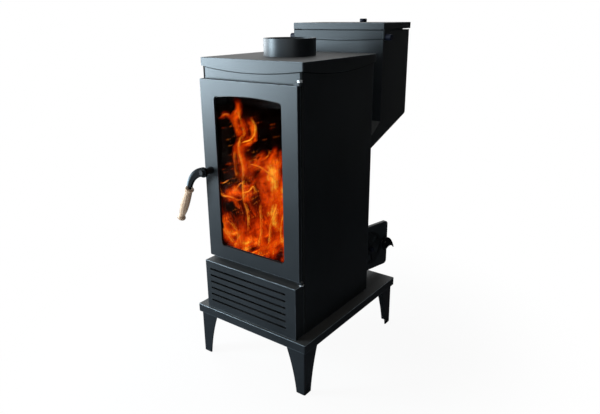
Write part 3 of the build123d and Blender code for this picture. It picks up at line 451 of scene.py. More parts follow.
def bareSteel():
    look = {"tone": (0.30, 0.30, 0.31), "warm": (0.27, 0.22, 0.17), "soot": (0.06, 0.055, 0.05),
            "drawn": (1.0, 1.0, 0.06)}
    paint = Paint("bareSteel")
    drawn = paint.add("ShaderNodeVectorMath", {"operation": "MULTIPLY"}, {0: paint.place(), 1: look["drawn"]})
    rolled = paint.cloud(70.0, 3.0, 0.6, place=drawn)
    heat = paint.cloud(9.0, 3.0, 0.5).eased(0.42, 0.68)
    smoke = paint.cloud(5.0, 5.0, 0.65).eased(0.5, 0.72)
    tone = paint.mixed(smoke * 0.55, paint.mixed(heat, look["tone"], look["warm"]), look["soot"])
    rough = rolled * 0.22 + smoke * 0.25 + 0.26
    return paint.coat(baseColor=tone, metallic=1 - smoke * 0.5, roughness=rough.held(),
                      normal=paint.bumped(rolled, 0.0001, 0.25))


def castIron():
    look = {"tone": (0.07, 0.064, 0.06), "rust": (0.16, 0.075, 0.04), "ash": (0.32, 0.30, 0.28)}
    paint = Paint("castIron")
    sand = paint.cloud(340.0, 3.0, 0.65)
    rust = paint.cloud(34.0, 4.0, 0.6).eased(0.52, 0.7)
    ash = paint.facing(2).eased(0.5, 1.0) * paint.cloud(60.0, 3.0, 0.6).eased(0.4, 0.66)
    tone = paint.mixed(ash * 0.6, paint.mixed(rust * 0.6, look["tone"], look["rust"]), look["ash"])
    return paint.coat(baseColor=tone, metallic=0.35, roughness=sand * 0.2 + 0.6,
                      normal=paint.bumped(sand, 0.00025, 0.7))


def sootyBoard():
    look = {"board": (0.30, 0.24, 0.16), "soot": (0.003, 0.0025, 0.002), "scorch": (0.06, 0.04, 0.025)}
    paint = Paint("sootyBoard")
    scorch = paint.cloud(11.0, 4.0, 0.6).eased(0.35, 0.7)
    soot = paint.cloud(6.0, 5.0, 0.6).eased(0.28, 0.6, 0.965, 1.0)
    tone = paint.mixed(soot, paint.mixed(scorch, look["board"], look["scorch"]), look["soot"])
    height = paint.cells(240.0) + paint.cloud(90.0, 3.0) * 1.5
    return paint.coat(baseColor=tone, roughness=0.95, specular=0.04, normal=paint.bumped(height, 0.0005, 0.6))


def fibreRope():
    look = {"tone": (0.075, 0.072, 0.068), "fibre": (0.16, 0.155, 0.145)}
    paint = Paint("fibreRope")
    hairs = paint.cloud(900.0, 2.0, 0.7)
    soiled = paint.cloud(45.0, 3.0).eased(0.35, 0.7)
    tone = paint.mixed(soiled, paint.mixed(hairs.eased(0.45, 0.7), look["tone"], look["fibre"]), look["tone"])
    return paint.coat(baseColor=tone, roughness=0.95, sheen=0.3, normal=paint.bumped(hairs, 0.0002, 0.6))


def clearGlass():
    # With hardly any mirror of its own, as the fire behind it outshines the room.
    look = {"tone": (0.97, 0.98, 0.97), "tint": (0.02, 0.02, 0.02), "ior": 1.15, "alpha": 0.4}
    paint = Paint("clearGlass")
    haze = paint.cloud(9.0, 4.0, 0.6).eased(0.45, 0.8)
    return paint.coat(baseColor=look["tone"], roughness=haze * 0.03 + 0.01, transmission=1.0,
                      ior=look["ior"], specularTint=look["tint"], alpha=look["alpha"])


def enamelBlack():
    look = {"tone": (0.003, 0.003, 0.003), "dot": (0.006, 0.006, 0.006)}
    paint = Paint("enamelBlack")
    dots = paint.cloud(500.0)
    return paint.coat(baseColor=paint.mixed(dots, look["tone"], look["dot"]),
                      roughness=dots * 0.08 + 0.3, specular=0.3)


def turnedBeech():
    # The grain runs down the grip, with short darker flecks and two faint bands of colour.
    look = {"pale": (0.66, 0.47, 0.32), "dark": (0.44, 0.26, 0.15), "fleck": (0.34, 0.17, 0.07),
            "lean": 24.5, "ringScale": 85, "roughness": 0.35}
    lean = math.radians(look["lean"])
    paint = Paint("turnedBeech")
    place = paint.place()
    x, y, z = (paint.along(axis, place) for axis in range(3))
    down = x * math.sin(lean) + z * math.cos(lean)
    across = x * math.cos(lean) - z * math.sin(lean)
    wander = paint.cloud(5.0, place=paint.joined(across, y, down * 0.6))
    rings = across * 1.4 + y * 0.6 + wander * 0.05 + down * 0.06
    rings = (rings * (2 * math.pi * look["ringScale"])).sine()
    fibres = paint.cloud(420.0, 3.0, 0.6, place=paint.joined(across, y, down * 0.05))
    flecks = paint.cloud(300.0, 1.0, place=paint.joined(across, y, down * 0.16)).eased(0.63, 0.72)
    tone = paint.mixed((rings * 0.35 + fibres * 0.6 + 0.1).held(), look["pale"], look["dark"])
    tone = paint.mixed(flecks * 0.6, tone, look["fleck"])
    return paint.coat(baseColor=tone, roughness=fibres * 0.15 + look["roughness"], coatWeight=0.2,
                      coatRoughness=0.3, normal=paint.bumped(fibres, 0.0002, 0.35))


def circleThrough(a, b, c):
    # Centre and radius of the circle through three points of a piece's outline, in metres.
    (ax, az), (bx, bz), (cx, cz) = ((p.x, p.z) for p in (at(x, 0, z) for x, z in (a, b, c)))
    d = 2 * (ax * (bz - cz) + bx * (cz - az) + cx * (az - bz))
    squares = (ax ** 2 + az ** 2, bx ** 2 + bz ** 2, cx ** 2 + cz ** 2)
    x = (squares[0] * (bz - cz) + squares[1] * (cz - az) + squares[2] * (az - bz)) / d
    z = (squares[0] * (cx - bx) + squares[1] * (ax - cx) + squares[2] * (bx - ax)) / d
    return x, z, math.hypot(ax - x, az - z)


def blackenedBar():
    # Oil-blackened flat steel, with a painted highlight along its outer edge towards the grip.
    look = {"tone": (0.0035, 0.0045, 0.005), "scale": (0.008, 0.009, 0.010), "highlightTone": (0.42, 0.50, 0.55),
            "band": 0.0085, "edge": 0.001, "top": 0.626, "bottom": 0.574,
            "arc": ((-151.0, 632.5), (-188.0, 615.5), (-219.5, 567.0))}
    paint = Paint("blackenedBar")
    x, z, radius = circleThrough(*look["arc"])
    dx, dz = paint.along(0) - x, paint.along(2) - z
    out = (dx * dx + dz * dz) ** 0.5
    scale = paint.cloud(160.0, 3.0, 0.6)
    lower = 1 - paint.along(2).eased(look["bottom"], look["top"])
    rim = radius + look["edge"]
    # Painted highlight along the bar's outer edge, strongest low down towards the grip
    paintedHighlight = (out + scale * 0.003).eased(rim - look["band"], rim) * lower
    tone = paint.mixed(paintedHighlight.held(), paint.mixed(scale, look["tone"], look["scale"]), look["highlightTone"])
    return paint.coat(baseColor=tone, roughness=scale * 0.15 + 0.38, specular=0.03,
                      normal=paint.bumped(scale, 0.0001, 0.4))


# Steel that lives in smoke or oil: by node, its finish's name and its tones
soot = {"patch": (40.0, 4.0, 0.6), "between": (0.3, 0.7), "rough": (0.5, 0.25),
        "metallic": 0.3, "specular": 0.2}
brownSoot = ((0.030, 0.024, 0.019), (0.010, 0.008, 0.007))
oilBlack = ((0.007, 0.008, 0.009), (0.004, 0.005, 0.006))
sootedNodes = {
    "spindle_nuts": ("dullNut", ((0.035, 0.037, 0.040), (0.015, 0.015, 0.017))),
    "baffle_plate": ("sooty_baffle_plate", ((0.0050, 0.0042, 0.0036), (0.0022, 0.0020, 0.0018))),
    # The ash pan behind the intake slots is near-black: painted shade for the hollow behind the cover
    "ash_pan": ("dustyAshPan", ((0.012, 0.012, 0.013), (0.0060, 0.0060, 0.0065))),
}
for nodeName in ("latch_tongue", "glass_clips", "firebox_floor", "inner_chute"):
    sootedNodes[nodeName] = ("sooty_" + nodeName, brownSoot)
for nodeName in ("handle_sleeve", "hatch_lever"):
    sootedNodes[nodeName] = ("blackened_" + nodeName, oilBlack)
finishes = {"bare_steel": bareSteel(), "iron": castIron(), "firebrick": sootyBoard(), "rope": fibreRope(),
            "glass": clearGlass(), "beech": turnedBeech()}
for slotName, finishLook in patchyLooks.items():
    finishes[slotName] = patchyFinish(**finishLook)


def dressNodes():
    for part in frame["record"]["subparts"]:
        name, slot = part["node"], part["material_slot"]
        if name == "handle_bar":
            finish = blackenedBar()
        elif name in sootedNodes:
            finish = patchyFinish(*sootedNodes[name], **soot)
        elif slot == "stove_paint":
            finish = stovePaint(name)
        else:
            finish = finishes[slot]
        wearing(nodes[name], finish)


dressNodes()
print("finishes on the frame's nodes")


def smoothCurve(points, steps):
    # A soft curve through the points, as many steps between each two.
    ends = [points[0], *points, points[-1]]
    curve = []
    for a, b, c, d in zip(ends, ends[1:], ends[2:], ends[3:]):
        for i in range(steps):
            t = i / steps
            curve.append(tuple(
                0.5 * (2 * q + (r - p) * t + (2 * p - 5 * q + 4 * r - s) * t ** 2
                       + (3 * q - p - 3 * r + s) * t ** 3)
                for p, q, r, s in zip(a, b, c, d)))
    return curve + [tuple(points[-1])]


def stripFaces(rows, columns, closedRows=False, closedColumns=True):
    faces = []
    for i in range(rows if closedRows else rows - 1):
        for j in range(columns if closedColumns else columns - 1):
            a, b = i * columns, (i + 1) % rows * columns
            k = (j + 1) % columns
            faces.append((a + j, a + k, b + k, b + j))
    return faces


def shifted(faces, first):
    return [tuple(first + k for k in face) for face in faces]


# Wooden grip, turned: a bead at the top, a long belly, a waist and a flared end with a counterbore. Its
# outline is radii and how far down they lie; the lip's points lie out and up from the counterbore's edge.
gripShape = {"top": (-209.0, -50.3, 562.0), "lean": 24.5, "sides": 56, "steps": 6, "bore": 4.06,
             "boreTop": 3.0, "counterbore": 7.0, "depth": 8.0, "length": 120.0, "lip": ((0.4, 0.1), (0.0, 0.5)),
             "beads": ((11.2, 2.6), (12.9, 3.2), (14.2, 5.0), (14.35, 7.4), (13.8, 9.8), (11.9, 12.2),
                       (10.9, 14.0)),
             "belly": ((10.9, 14.0), (11.3, 19.0), (12.0, 30.0), (12.9, 48.0), (12.9, 68.0), (11.9, 86.0),
                       (9.6, 101.0), (8.9, 107.5)),
             "flare": ((8.9, 107.5), (10.9, 110.0), (12.5, 112.6), (13.0, 116.2), (12.2, 118.6), (10.8, 119.8))}


def turnGrip():
    look = gripShape
    outline = [(look["bore"], look["boreTop"]), *smoothCurve(look["beads"], look["steps"])]
    for stretch in ("belly", "flare"):
        outline += smoothCurve(look[stretch], look["steps"])[1:]
    rim, floor = look["counterbore"], look["length"] - look["depth"]
    outline += [(rim + out, look["length"] - up) for out, up in look["lip"]]
    outline += [(rim, floor), (look["bore"], floor)]
    lean = math.radians(look["lean"])
    axis = Vector((-math.sin(lean), 0, -math.cos(lean)))
    side = Vector((math.cos(lean), 0, -math.sin(lean)))
    start = Vector(look["top"])
    points = []
    for radius, down in outline:
        for i in range(look["sides"]):
            turn = 2 * math.pi * i / look["sides"]
            spot = start + axis * down + (side * math.cos(turn) + Vector((0, 1, 0)) * math.sin(turn)) * radius
            points.append(at(*spot))
    grip = buildMesh("turnedGrip", points, stripFaces(len(outline), look["sides"], True))
    wearing(grip, finishes["beech"])
    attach(grip, "handle")
    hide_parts("handle_grip")


turnGrip()
print("grip turned")


# Ropes: a braided glass-fibre rope pressed oval, round each sealed opening
ropes = {
    "doorRope": {"node": "door_gasket", "body": "door", "corner": 4.0, "across": 8.3, "plane": "front"},
    "hatchRope": {"node": "hatch_gasket", "body": "hatch", "corner": 5.0, "across": 6.8, "plane": "hatch",
                  "wide": 86.25, "high": 76.0, "middle": (0.0, 269.0), "front": 353.3, "rear": 366.5},
    "lidRope": {"node": "lid_gasket", "body": "lid", "corner": 6.0, "across": 11.8, "plane": "top"},
}
braid = {"step": 1.5, "sides": 28, "pitch": 7.0, "strands": 3, "relief": 0.07, "squareness": 2.6,
         "slack": 0.2, "leastCorner": 3.0, "cornerSteps": 4}
hatchSwing = {"hinge": (97.75, 363.0), "angle": 102.4}


def swungOut(x, y, z):
    turn = math.radians(-hatchSwing["angle"])
    cx, cy = hatchSwing["hinge"]
    x, y = x - cx, y - cy
    return (cx + x * math.cos(turn) - y * math.sin(turn), cy + x * math.sin(turn) + y * math.cos(turn), z)


def roundedLoop(wide, high, corner):
    # Points round a rounded rectangle, each with its outward direction and its distance along the loop.
    loop = []
    travelled = 0.0
    corners = [(wide - corner, high - corner, 0), (corner - wide, high - corner, 90),
               (corner - wide, corner - high, 180), (wide - corner, corner - high, 270)]

    def mark(x, y, degrees, run):
        c, s = math.cos(math.radians(degrees)), math.sin(math.radians(degrees))
        loop.append((x + corner * c, y + corner * s, c, s, run))

    for i, (cx, cy, start) in enumerate(corners):
        count = max(braid["cornerSteps"], int(corner * math.pi / 2 / braid["step"]))
        for j in range(count + 1):
            mark(cx, cy, start + 90 * j / count, travelled + corner * math.radians(90 * j / count))
        travelled += corner * math.pi / 2
        nx, ny, _ = corners[(i + 1) % 4]
        run = math.dist((cx, cy), (nx, ny))
        count = int(run / braid["step"])
        for j in range(1, count):
            t = j / count
            mark(cx + (nx - cx) * t, cy + (ny - cy) * t, start + 90, travelled + run * t)
        travelled += run
    return loop, travelled


def layRope(name):
    look = ropes[name]
    if look["plane"] == "hatch":
        wide, high, middle, near, far = (look[key] for key in ("wide", "high", "middle", "front", "rear"))
    else:
        low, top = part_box(look["node"])
        size, centre = (top - low) * 1000, (top + low) / 2
        tall, depth = (2, 1) if look["plane"] == "front" else (1, 2)
        wide, high = size.x / 2, size[tall] / 2
        origin = at(0, 0, 0)
        middle = ((centre.x - origin.x) * 1000, (centre[tall] - origin[tall]) * 1000)
        near, far = (low[depth] - origin[depth]) * 1000, (top[depth] - origin[depth]) * 1000
    inset, thick, core = look["across"] / 2, far - near - braid["slack"], (near + far) / 2
    corner = max(look["corner"] - inset, braid["leastCorner"])
    loop, total = roundedLoop(wide - inset, high - inset, corner)
    turns = round(total / braid["pitch"])
    power = braid["squareness"]
    points = []
    for x, z, outX, outZ, run in loop:
        phase = 2 * math.pi * turns * run / total
        for i in range(braid["sides"]):
            turn = 2 * math.pi * i / braid["sides"]
            left = abs(math.sin(braid["strands"] * turn / 2 + phase))
            right = abs(math.sin(braid["strands"] * turn / 2 - phase))
            swell = 1 - braid["relief"] * (2 - left - right)
            c, s = math.cos(turn), math.sin(turn)
            square = (abs(c) ** power + abs(s) ** power) ** (-1 / power)
            out = c * square * look["across"] / 2 * swell
            deep = core + s * square * thick / 2 * swell
            px, pz = middle[0] + x + outX * out, middle[1] + z + outZ * out
            if look["plane"] == "front":
                points.append(at(px, deep, pz))
            elif look["plane"] == "hatch":
                points.append(at(*swungOut(px, deep, pz)))
            else:
                points.append(at(px, pz, deep))
    rope = buildMesh(name, points, stripFaces(len(loop), braid["sides"], True))
    wearing(rope, finishes["rope"])
    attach(rope, look["body"])
    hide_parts(look["node"])


# Window: the black enamel border on the glass, inside the opening of the door sheet
windowShape = {"half": 120.0, "low": 386.0, "high": 834.0, "crown": 842.0, "corner": 11.0, "outer": 3.4,
               "inner": -2.4, "thick": 0.24, "gap": 0.04, "cornerSteps": 12, "topSteps": 24}


def windowLoop(grow):
    look = windowShape
    w, low, high, crown = (look["half"] + grow, look["low"] - grow, look["high"] + grow, look["crown"] + grow)
    r = look["corner"] + grow / 2
    corners = ((w - r, low + r, 270), (w - r, high - r, 0), (r - w, high - r, 90), (r - w, low + r, 180))
    loop = []
    for cx, cz, start in corners:
        for j in range(look["cornerSteps"] + 1):
            turn = math.radians(start + 90 * j / look["cornerSteps"])
            loop.append((cx + r * math.cos(turn), cz + r * math.sin(turn)))
        if start == 0:
            for j in range(1, look["topSteps"]):
                t = j / look["topSteps"]
                loop.append((w - r - 2 * (w - r) * t, high))
    lifted = []
    for x, z in loop:
        share = 1 - (x / w) ** 2
        rise = (crown - high) * share if z > (low + high) / 2 else 0
        lifted.append((x, z + rise * min(1, max(0, (z - high + r) / r))))
    return lifted


def printBorder():
    look = windowShape
    outer, inner = windowLoop(look["outer"]), windowLoop(look["inner"])
    back = (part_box("door_glass")[0].y - at(0, 0, 0).y) * 1000 - look["gap"]
    front = back - look["thick"]
    points = []
    for loop, y in ((outer, front), (inner, front), (inner, back), (outer, back)):
        points += [at(x, y, z) for x, z in loop]
    border = buildMesh("glassBorder", points, stripFaces(4, len(outer), True), False)
    wearing(border, enamelBlack())
    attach(border, "door")


for ropeName in ropes:
    layRope(ropeName)
printBorder()
print("ropes laid and window border printed")


# Fire: veils of flame one behind another, with drawn tongues and bright strands before them, over a bed of
# embers. The front veil stays clear of the latch. Where a veil burns is a sum of soft patches: middle x and
# z, half width, half height and heat, below nothing where the smoke is thick. A drawn flame is its width at
# foot, middle and tip, its heat, and its line in x and z, from the foot up.
fire = {"seed": 7, "bottom": 358.0, "top": 842.0, "half": 144.5, "columns": 48, "rows": 80,
        "waveWide": 60, "waveTall": 85, "waveStep": 1.7, "latch": (-112, 570, 665), "latchDepth": 40,
        "tongueDepth": 7.0, "tongueHem": 0.42, "wispDepth": 9.0, "wispHem": 0.1, "strandDepth": 4.0}
veils = (
    {"y": 15, "bow": 3, "shift": 0.37, "strength": 1.0, "patches": (
        (78, 565, 62, 135, 0.76), (40, 640, 52, 62, 0.72), (22, 475, 70, 120, 0.6), (0, 392, 170, 52, 0.75),
        (-92, 425, 62, 70, 0.7), (-125, 485, 40, 75, 0.45), (-58, 556, 66, 36, 0.6), (90, 430, 60, 80, 0.6),
        (-105, 556, 55, 34, 0.3), (-42, 640, 34, 90, 0.5), (122, 396, 50, 70, 0.5), (-96, 628, 44, 60, 0.2),
        (-52, 760, 38, 80, 0.4), (-2, 752, 24, 50, 0.25),
        (-7, 532, 32, 38, -0.5), (-112, 505, 30, 26, -0.5), (-26, 394, 26, 14, -0.4), (64, 452, 30, 26, -0.4),
        (66, 694, 13, 14, -0.6), (-88, 462, 26, 26, -0.25))},
    {"y": 52, "bow": 8, "shift": 0.91, "strength": 0.85, "patches": (
        (60, 530, 90, 150, 0.7), (-60, 440, 110, 110, 0.6), (-105, 590, 75, 90, 0.34))},
    {"y": 108, "bow": 12, "shift": 1.43, "strength": 0.75, "patches": (
        (30, 520, 120, 160, 0.7), (-80, 430, 80, 100, 0.7))},
)
drawnTongues = (
    ((22, 46, 18), 0.80, ((-38, 585), (-34, 618), (-42, 652), (-54, 686), (-50, 716), (-42, 744))),
    ((26, 40, 4), 0.84, ((-52, 700), (-50, 724), (-60, 750), (-66, 774), (-50, 800), (-58, 826), (-76, 848))),
    ((16, 28, 4), 0.92, ((-58, 690), (-36, 702), (-10, 714), (3, 736), (-2, 760), (-16, 776), (-24, 796))),
    ((16, 22, 3), 0.66, ((-58, 758), (-80, 776), (-98, 786), (-112, 774), (-132, 769))),
    ((12, 18, 3), 0.62, ((-56, 632), (-74, 656), (-72, 690), (-58, 718))),
    ((16, 20, 3), 0.60, ((-36, 716), (-28, 742), (-36, 770), (-30, 792))),
    ((34, 44, 3), 0.74, ((-22, 634), (6, 652), (30, 678), (46, 706))),
    ((28, 30, 3), 0.72, ((58, 640), (60, 672), (77, 700), (80, 724))),
    ((18, 20, 2), 0.66, ((92, 636), (96, 680), (93, 716))),
    ((60, 74, 10), 0.62, ((84, 420), (76, 500), (86, 580), (70, 650))),
    ((50, 70, 8), 0.72, ((36, 500), (44, 560), (30, 610), (44, 660))),
    ((40, 54, 6), 0.74, ((-104, 366), (-104, 400), (-126, 440), (-122, 486))),
    ((40, 50, 5), 0.68, ((-62, 362), (-66, 410), (-54, 452), (-72, 496))),
    ((44, 50, 6), 0.72, ((14, 362), (22, 420), (8, 470), (28, 530))),
    ((44, 60, 6), 0.70, ((70, 362), (60, 410), (84, 450), (76, 500))),
)
brightStrands = (
    ((15, 20, 8), 1.0, ((-34, 392), (-33, 422), (-28, 465), (-29, 506), (-41, 540), (-43, 580), (-39, 620),
                        (-42, 649), (-51, 677), (-51, 706), (-39, 729), (-13, 731), (6, 745))),
    ((12, 22, 5), 0.98, ((-51, 700), (-34, 712), (-8, 722), (8, 740), (10, 762), (-1, 778), (-14, 792))),
    ((10, 16, 4), 0.86, ((-44, 706), (-30, 738), (-40, 770), (-48, 792), (-57, 826))),
    ((9, 13, 3), 0.78, ((-79, 774), (-94, 785), (-114, 775), (-129, 764))),
    ((14, 26, 4), 0.88, ((-134, 592), (-141, 566), (-128, 541), (-92, 540), (-62, 536), (-40, 556))),
    ((12, 20, 4), 0.86, ((-70, 540), (-44, 562), (-22, 570), (-4, 588), (6, 566), (-2, 544))),
    ((9, 13, 3), 0.95, ((-138, 574), (-116, 580), (-96, 594))),
    ((10, 16, 3), 0.84, ((-80, 556), (-66, 572), (-50, 590), (-30, 584))),
    ((13, 18, 4), 0.96, ((8, 392), (10, 416), (18, 449), (21, 491), (19, 531), (26, 566))),
    ((13, 18, 4), 0.94, ((38, 396), (50, 440), (56, 484), (68, 520), (82, 560), (87, 606))),
    ((12, 16, 4), 0.84, ((-33, 651), (5, 652), (41, 644), (70, 628), (92, 604))),
    ((11, 15, 3), 0.8, ((-13, 670), (30, 668), (58, 690), (54, 708))),
    ((12, 18, 4), 0.92, ((-134, 472), (-130, 432), (-104, 405), (-84, 386))),
    ((11, 15, 4), 0.86, ((-110, 463), (-84, 447), (-71, 418), (-81, 389))),
    ((12, 16, 4), 0.84, ((98, 420), (94, 470), (100, 512), (108, 548))),
    ((9, 13, 3), 0.84, ((-74, 640), (-66, 610), (-72, 668), (-60, 700))),
)
flameTones = ((0.0, (0.0, 0.0, 0.0)), (0.20, (0.03, 0.001, 0.0)), (0.36, (0.13, 0.004, 0.0)),
              (0.54, (0.44, 0.017, 0.0)), (0.72, (0.88, 0.066, 0.001)), (0.88, (1.0, 0.20, 0.006)),
              (1.0, (1.0, 0.52, 0.035)))


def glowing(paint, heat, **sockets):
    return paint.coat(baseColor=(0.0, 0.0, 0.0), roughness=1.0, specular=0.0,
                      emission=paint.ramp(heat, flameTones), glow=1.0, **sockets)


def flameShader(paint, heat, solid):
    return glowing(paint, (heat * 0.80 + 0.22).held(), alpha=heat.eased(0.03, solid))


# A veil's clouds: a bend is scale, shift and squash, a vein is scale, narrowness, sharpness and heat
veilFlow = {"bends": ((7.0, 0, 0.7), (7.0, 5, 0.7), (24.0, 2, 0.6)), "squash": 0.42,
            "body": (17.0, 6.0, 0.62, 0.5), "bodyHeat": 0.54, "steadyHeat": 0.18,
            "veins": ((19.0, 2.2, 5.0, 0.46), (42.0, 2.0, 6.0, 0.66)), "mottle": (150.0, 3.0, 0.6)}


def veilPaint(name, look):
    paint = Paint(name)
    shift = look["shift"]
    x, z = paint.along(0), paint.along(2)
    sway, lift, curl = (paint.cloud(scale, place=paint.joined(x, shift + step, z * squash)) - 0.5
                        for scale, step, squash in veilFlow["bends"])
    ragX, ragZ = x + sway * 0.05 + curl * 0.07, z + lift * 0.10 + curl * 0.06
    burning = None
    for px, pz, wide, tall, heat in look["patches"]:
        across = (ragX - (px / 1000 + middleX)) / (wide / 1000)
        up = (ragZ - pz / 1000) / (tall / 1000)
        patch = (1 - across * across - up * up).held() * heat
        burning = patch if burning is None else burning + patch
    flow = paint.joined(x + sway * 0.11 + curl * 0.03, shift, (z + lift * 0.09) * veilFlow["squash"])
    body = paint.cloud(*veilFlow["body"], place=flow)
    glow = body.eased(0.34, 0.64) * veilFlow["bodyHeat"] + veilFlow["steadyHeat"]
    for scale, narrow, sharp, heat in veilFlow["veins"]:
        vein = paint.cloud(scale, 2.0, 0.45, 0.8, place=flow)
        glow = glow + (1 - abs(vein * 2 - 1) * narrow).held() ** sharp * heat
    mottle = paint.cloud(*veilFlow["mottle"], place=flow).eased(0.34, 0.6, 0.62, 1.0)
    return flameShader(paint, burning.held() * mottle * glow * look["strength"], 0.7)


def flameCharts(paint):
    # u runs across a drawn flame and v from foot to tip; the flow chart keeps its streaks along its line.
    rise, flow, kind = (paint.add("ShaderNodeUVMap", {"uv_map": key}) for key in ("rise", "flow", "kind"))
    return paint.along(0, rise), paint.along(1, rise), flow, paint.along(0, kind)


def tonguePaint(name, hem):
    look = {"bodyHeat": 0.5, "steadyHeat": 0.28, "lineHeat": 0.42, "hemAt": 0.6}
    paint = Paint(name)
    u, v, flow, hot = flameCharts(paint)
    lick = paint.cloud(1.1, 3.0, 0.6, place=flow)
    streak = paint.cloud(1.9, 4.0, 0.6, 0.6, place=flow)
    line = (1 - abs(streak * 2 - 1) * 2.2).held() ** 4.0
    across = abs((u + (lick - 0.5) * 0.7) * 2 - 1)
    body = 1 - across.eased(0.1, 1.0)
    rim = (1 - abs(across - look["hemAt"]) * 6.0).held() ** 1.5
    ends = v.eased(0.0, 0.3) * (1 - v.eased(0.66, 1.0))
    glow = body * (streak.eased(0.3, 0.7) * look["bodyHeat"] + look["steadyHeat"])
    glow = glow + rim * hem + line * body * look["lineHeat"]
    return flameShader(paint, hot * glow * ends, 0.8)


def strandPaint(name):
    paint = Paint(name)
    u, v, flow, hot = flameCharts(paint)
    flicker = paint.cloud(1.3, 3.0, 0.6, place=flow)
    core = (1 - abs((u + (flicker - 0.5) * 0.3) * 2 - 1)).held()
    core = core ** 2.4 * 0.8 + core ** 7.0 * 0.5
    ends = v.eased(0.0, 0.22) * (1 - v.eased(0.72, 1.0))
    return flameShader(paint, hot * core * ends * flicker.eased(0.25, 0.62, 0.5, 1.1), 0.95)


ribbon = {"steps": 9, "widest": 0.55, "bellyShare": 0.1, "bellyMost": 3.0, "stagger": 1.2,
          "flowWide": 9, "flowLong": 34, "flowStep": (7.3, 3.1)}


def drawFlames(name, lines, across, depth, material):
    # Ribbons along soft lines, bellied towards the room, all in one mesh.
    look, widest = ribbon, ribbon["widest"]
    points, faces = [], []
    charts = {"rise": [], "flow": [], "kind": []}
    for number, ((foot, middle, tip), heat, line) in enumerate(lines):
        curve = smoothCurve(line, look["steps"])
        last = len(curve) - 1
        faces += shifted(stripFaces(last + 1, across + 1, closedColumns=False), len(points))
        near = depth + look["stagger"] * math.sin(number * 1.7)
        flowU, flowV = (number * step for step in look["flowStep"])
        run = 0.0
        for i, (x, z) in enumerate(curve):
            t = i / last
            before, after = curve[max(0, i - 1)], curve[min(last, i + 1)]
            dx, dz = after[0] - before[0], after[1] - before[1]
            length = math.hypot(dx, dz)
            run += length / 2
            if t < widest:
                wide = foot + (middle - foot) * math.sin(math.pi * t / 2 / widest)
            else:
                wide = tip + (middle - tip) * math.cos(math.pi * (t - widest) / 2 / (1 - widest))
            for k in range(across + 1):
                side = k / across - 0.5
                px = max(-fire["half"], min(fire["half"], x - dz / length * wide * side))
                belly = (1 - (2 * side) ** 2) * min(wide * look["bellyShare"], look["bellyMost"])
                points.append(at(px, near - belly, z + dx / length * wide * side))
                charts["rise"].append((k / across, t))
                charts["flow"].append((flowU + wide * side / look["flowWide"], flowV + run / look["flowLong"]))
                charts["kind"].append((heat, 0.0))
    flames = buildMesh(name, points, faces)
    for chartName, values in charts.items():
        chart = flames.data.uv_layers.new(name=chartName)
        for loop in flames.data.loops:
            chart.data[loop.index].uv = values[loop.vertex_index]
    wearing(flames, material)
    flames.visible_shadow = False
    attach(flames, "stove")


# Loose wisps: torn-off licks, whose feet may start higher towards the right
wispShape = {"count": 18, "x": (-128, 128), "z": (366, 500), "rise": 150, "reach": 140, "points": 4,
             "lean": (-0.7, 0.7), "bend": (-0.8, 0.8), "across": 17, "limit": 130, "up": (12, 24),
             "size": (14, 30), "foot": 0.6, "tip": 1.5, "heat": (0.5, 0.8)}


def looseWisps():
    look = wispShape
    draw = random.Random(fire["seed"] + 5)
    wisps = []
    for _ in range(look["count"]):
        x = draw.uniform(*look["x"])
        lowest, highest = look["z"]
        z = draw.uniform(lowest, highest + look["rise"] * (x + look["reach"]) / (2 * look["reach"]))
        lean = draw.uniform(*look["lean"])
        line = []
        for _ in range(look["points"]):
            line.append((x, z))
            lean += draw.uniform(*look["bend"])
            x = max(-look["limit"], min(look["limit"], x + look["across"] * math.sin(lean)))
            z += draw.uniform(*look["up"])
        size = draw.uniform(*look["size"])
        wisps.append(((size * look["foot"], size, look["tip"]), draw.uniform(*look["heat"]), line))
    return wisps


def hangVeil(index, look):
    columns, rows, half = fire["columns"], fire["rows"], fire["half"]
    latchX, latchLow, latchHigh = fire["latch"]
    spots, faces = [], []
    for j in range(rows + 1):
        z = fire["bottom"] + (fire["top"] - fire["bottom"]) * j / rows
        tall = math.sin(z / fire["waveTall"] + index * fire["waveStep"])
        for i in range(columns + 1):
            x = -half + 2 * half * i / columns
            bend = look["bow"] * (math.cos(x / fire["waveWide"] + index) * 0.6 + tall * 0.4)
            spots.append((x, look["y"] + bend, z))
    for face in stripFaces(rows + 1, columns + 1, closedColumns=False):
        x, y, z = spots[face[0]]
        if not (y < fire["latchDepth"] and x < latchX and latchLow < z < latchHigh):
            faces.append(face)
    veil = buildMesh("flameVeil_%d" % (index + 1), [at(*spot) for spot in spots], faces)
    wearing(veil, veilPaint("veilFlame_%d" % (index + 1), look))
    veil.visible_shadow = False
    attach(veil, "stove")


def emberPaint():
    look = {"ash": (0.02, 0.018, 0.016), "paleAsh": (0.16, 0.15, 0.14),
            "tones": ((0.0, (0.004, 0.001, 0.0)), (0.35, (0.10, 0.006, 0.001)), (0.65, (0.8, 0.09, 0.004)),
                      (1.0, (1.0, 0.42, 0.04)))}
    paint = Paint("emberGlow")
    patch, crust = paint.cloud(55.0, 3.0, 0.6), paint.cloud(320.0, 3.0, 0.6)
    heat = (patch.eased(0.36, 0.68) * 0.75 + crust.eased(0.4, 0.7) * 0.4).held()
    return paint.coat(baseColor=paint.mixed(crust, look["ash"], look["paleAsh"]), roughness=0.95,
                      emission=paint.ramp(heat, look["tones"]), glow=1.0,
                      normal=paint.bumped(crust, 0.0004, 0.8))


def sparkPaint():
    paint = Paint("sparkGlow")
    return glowing(paint, paint.cloud(30.0).eased(0.3, 0.6, 0.7, 0.9))


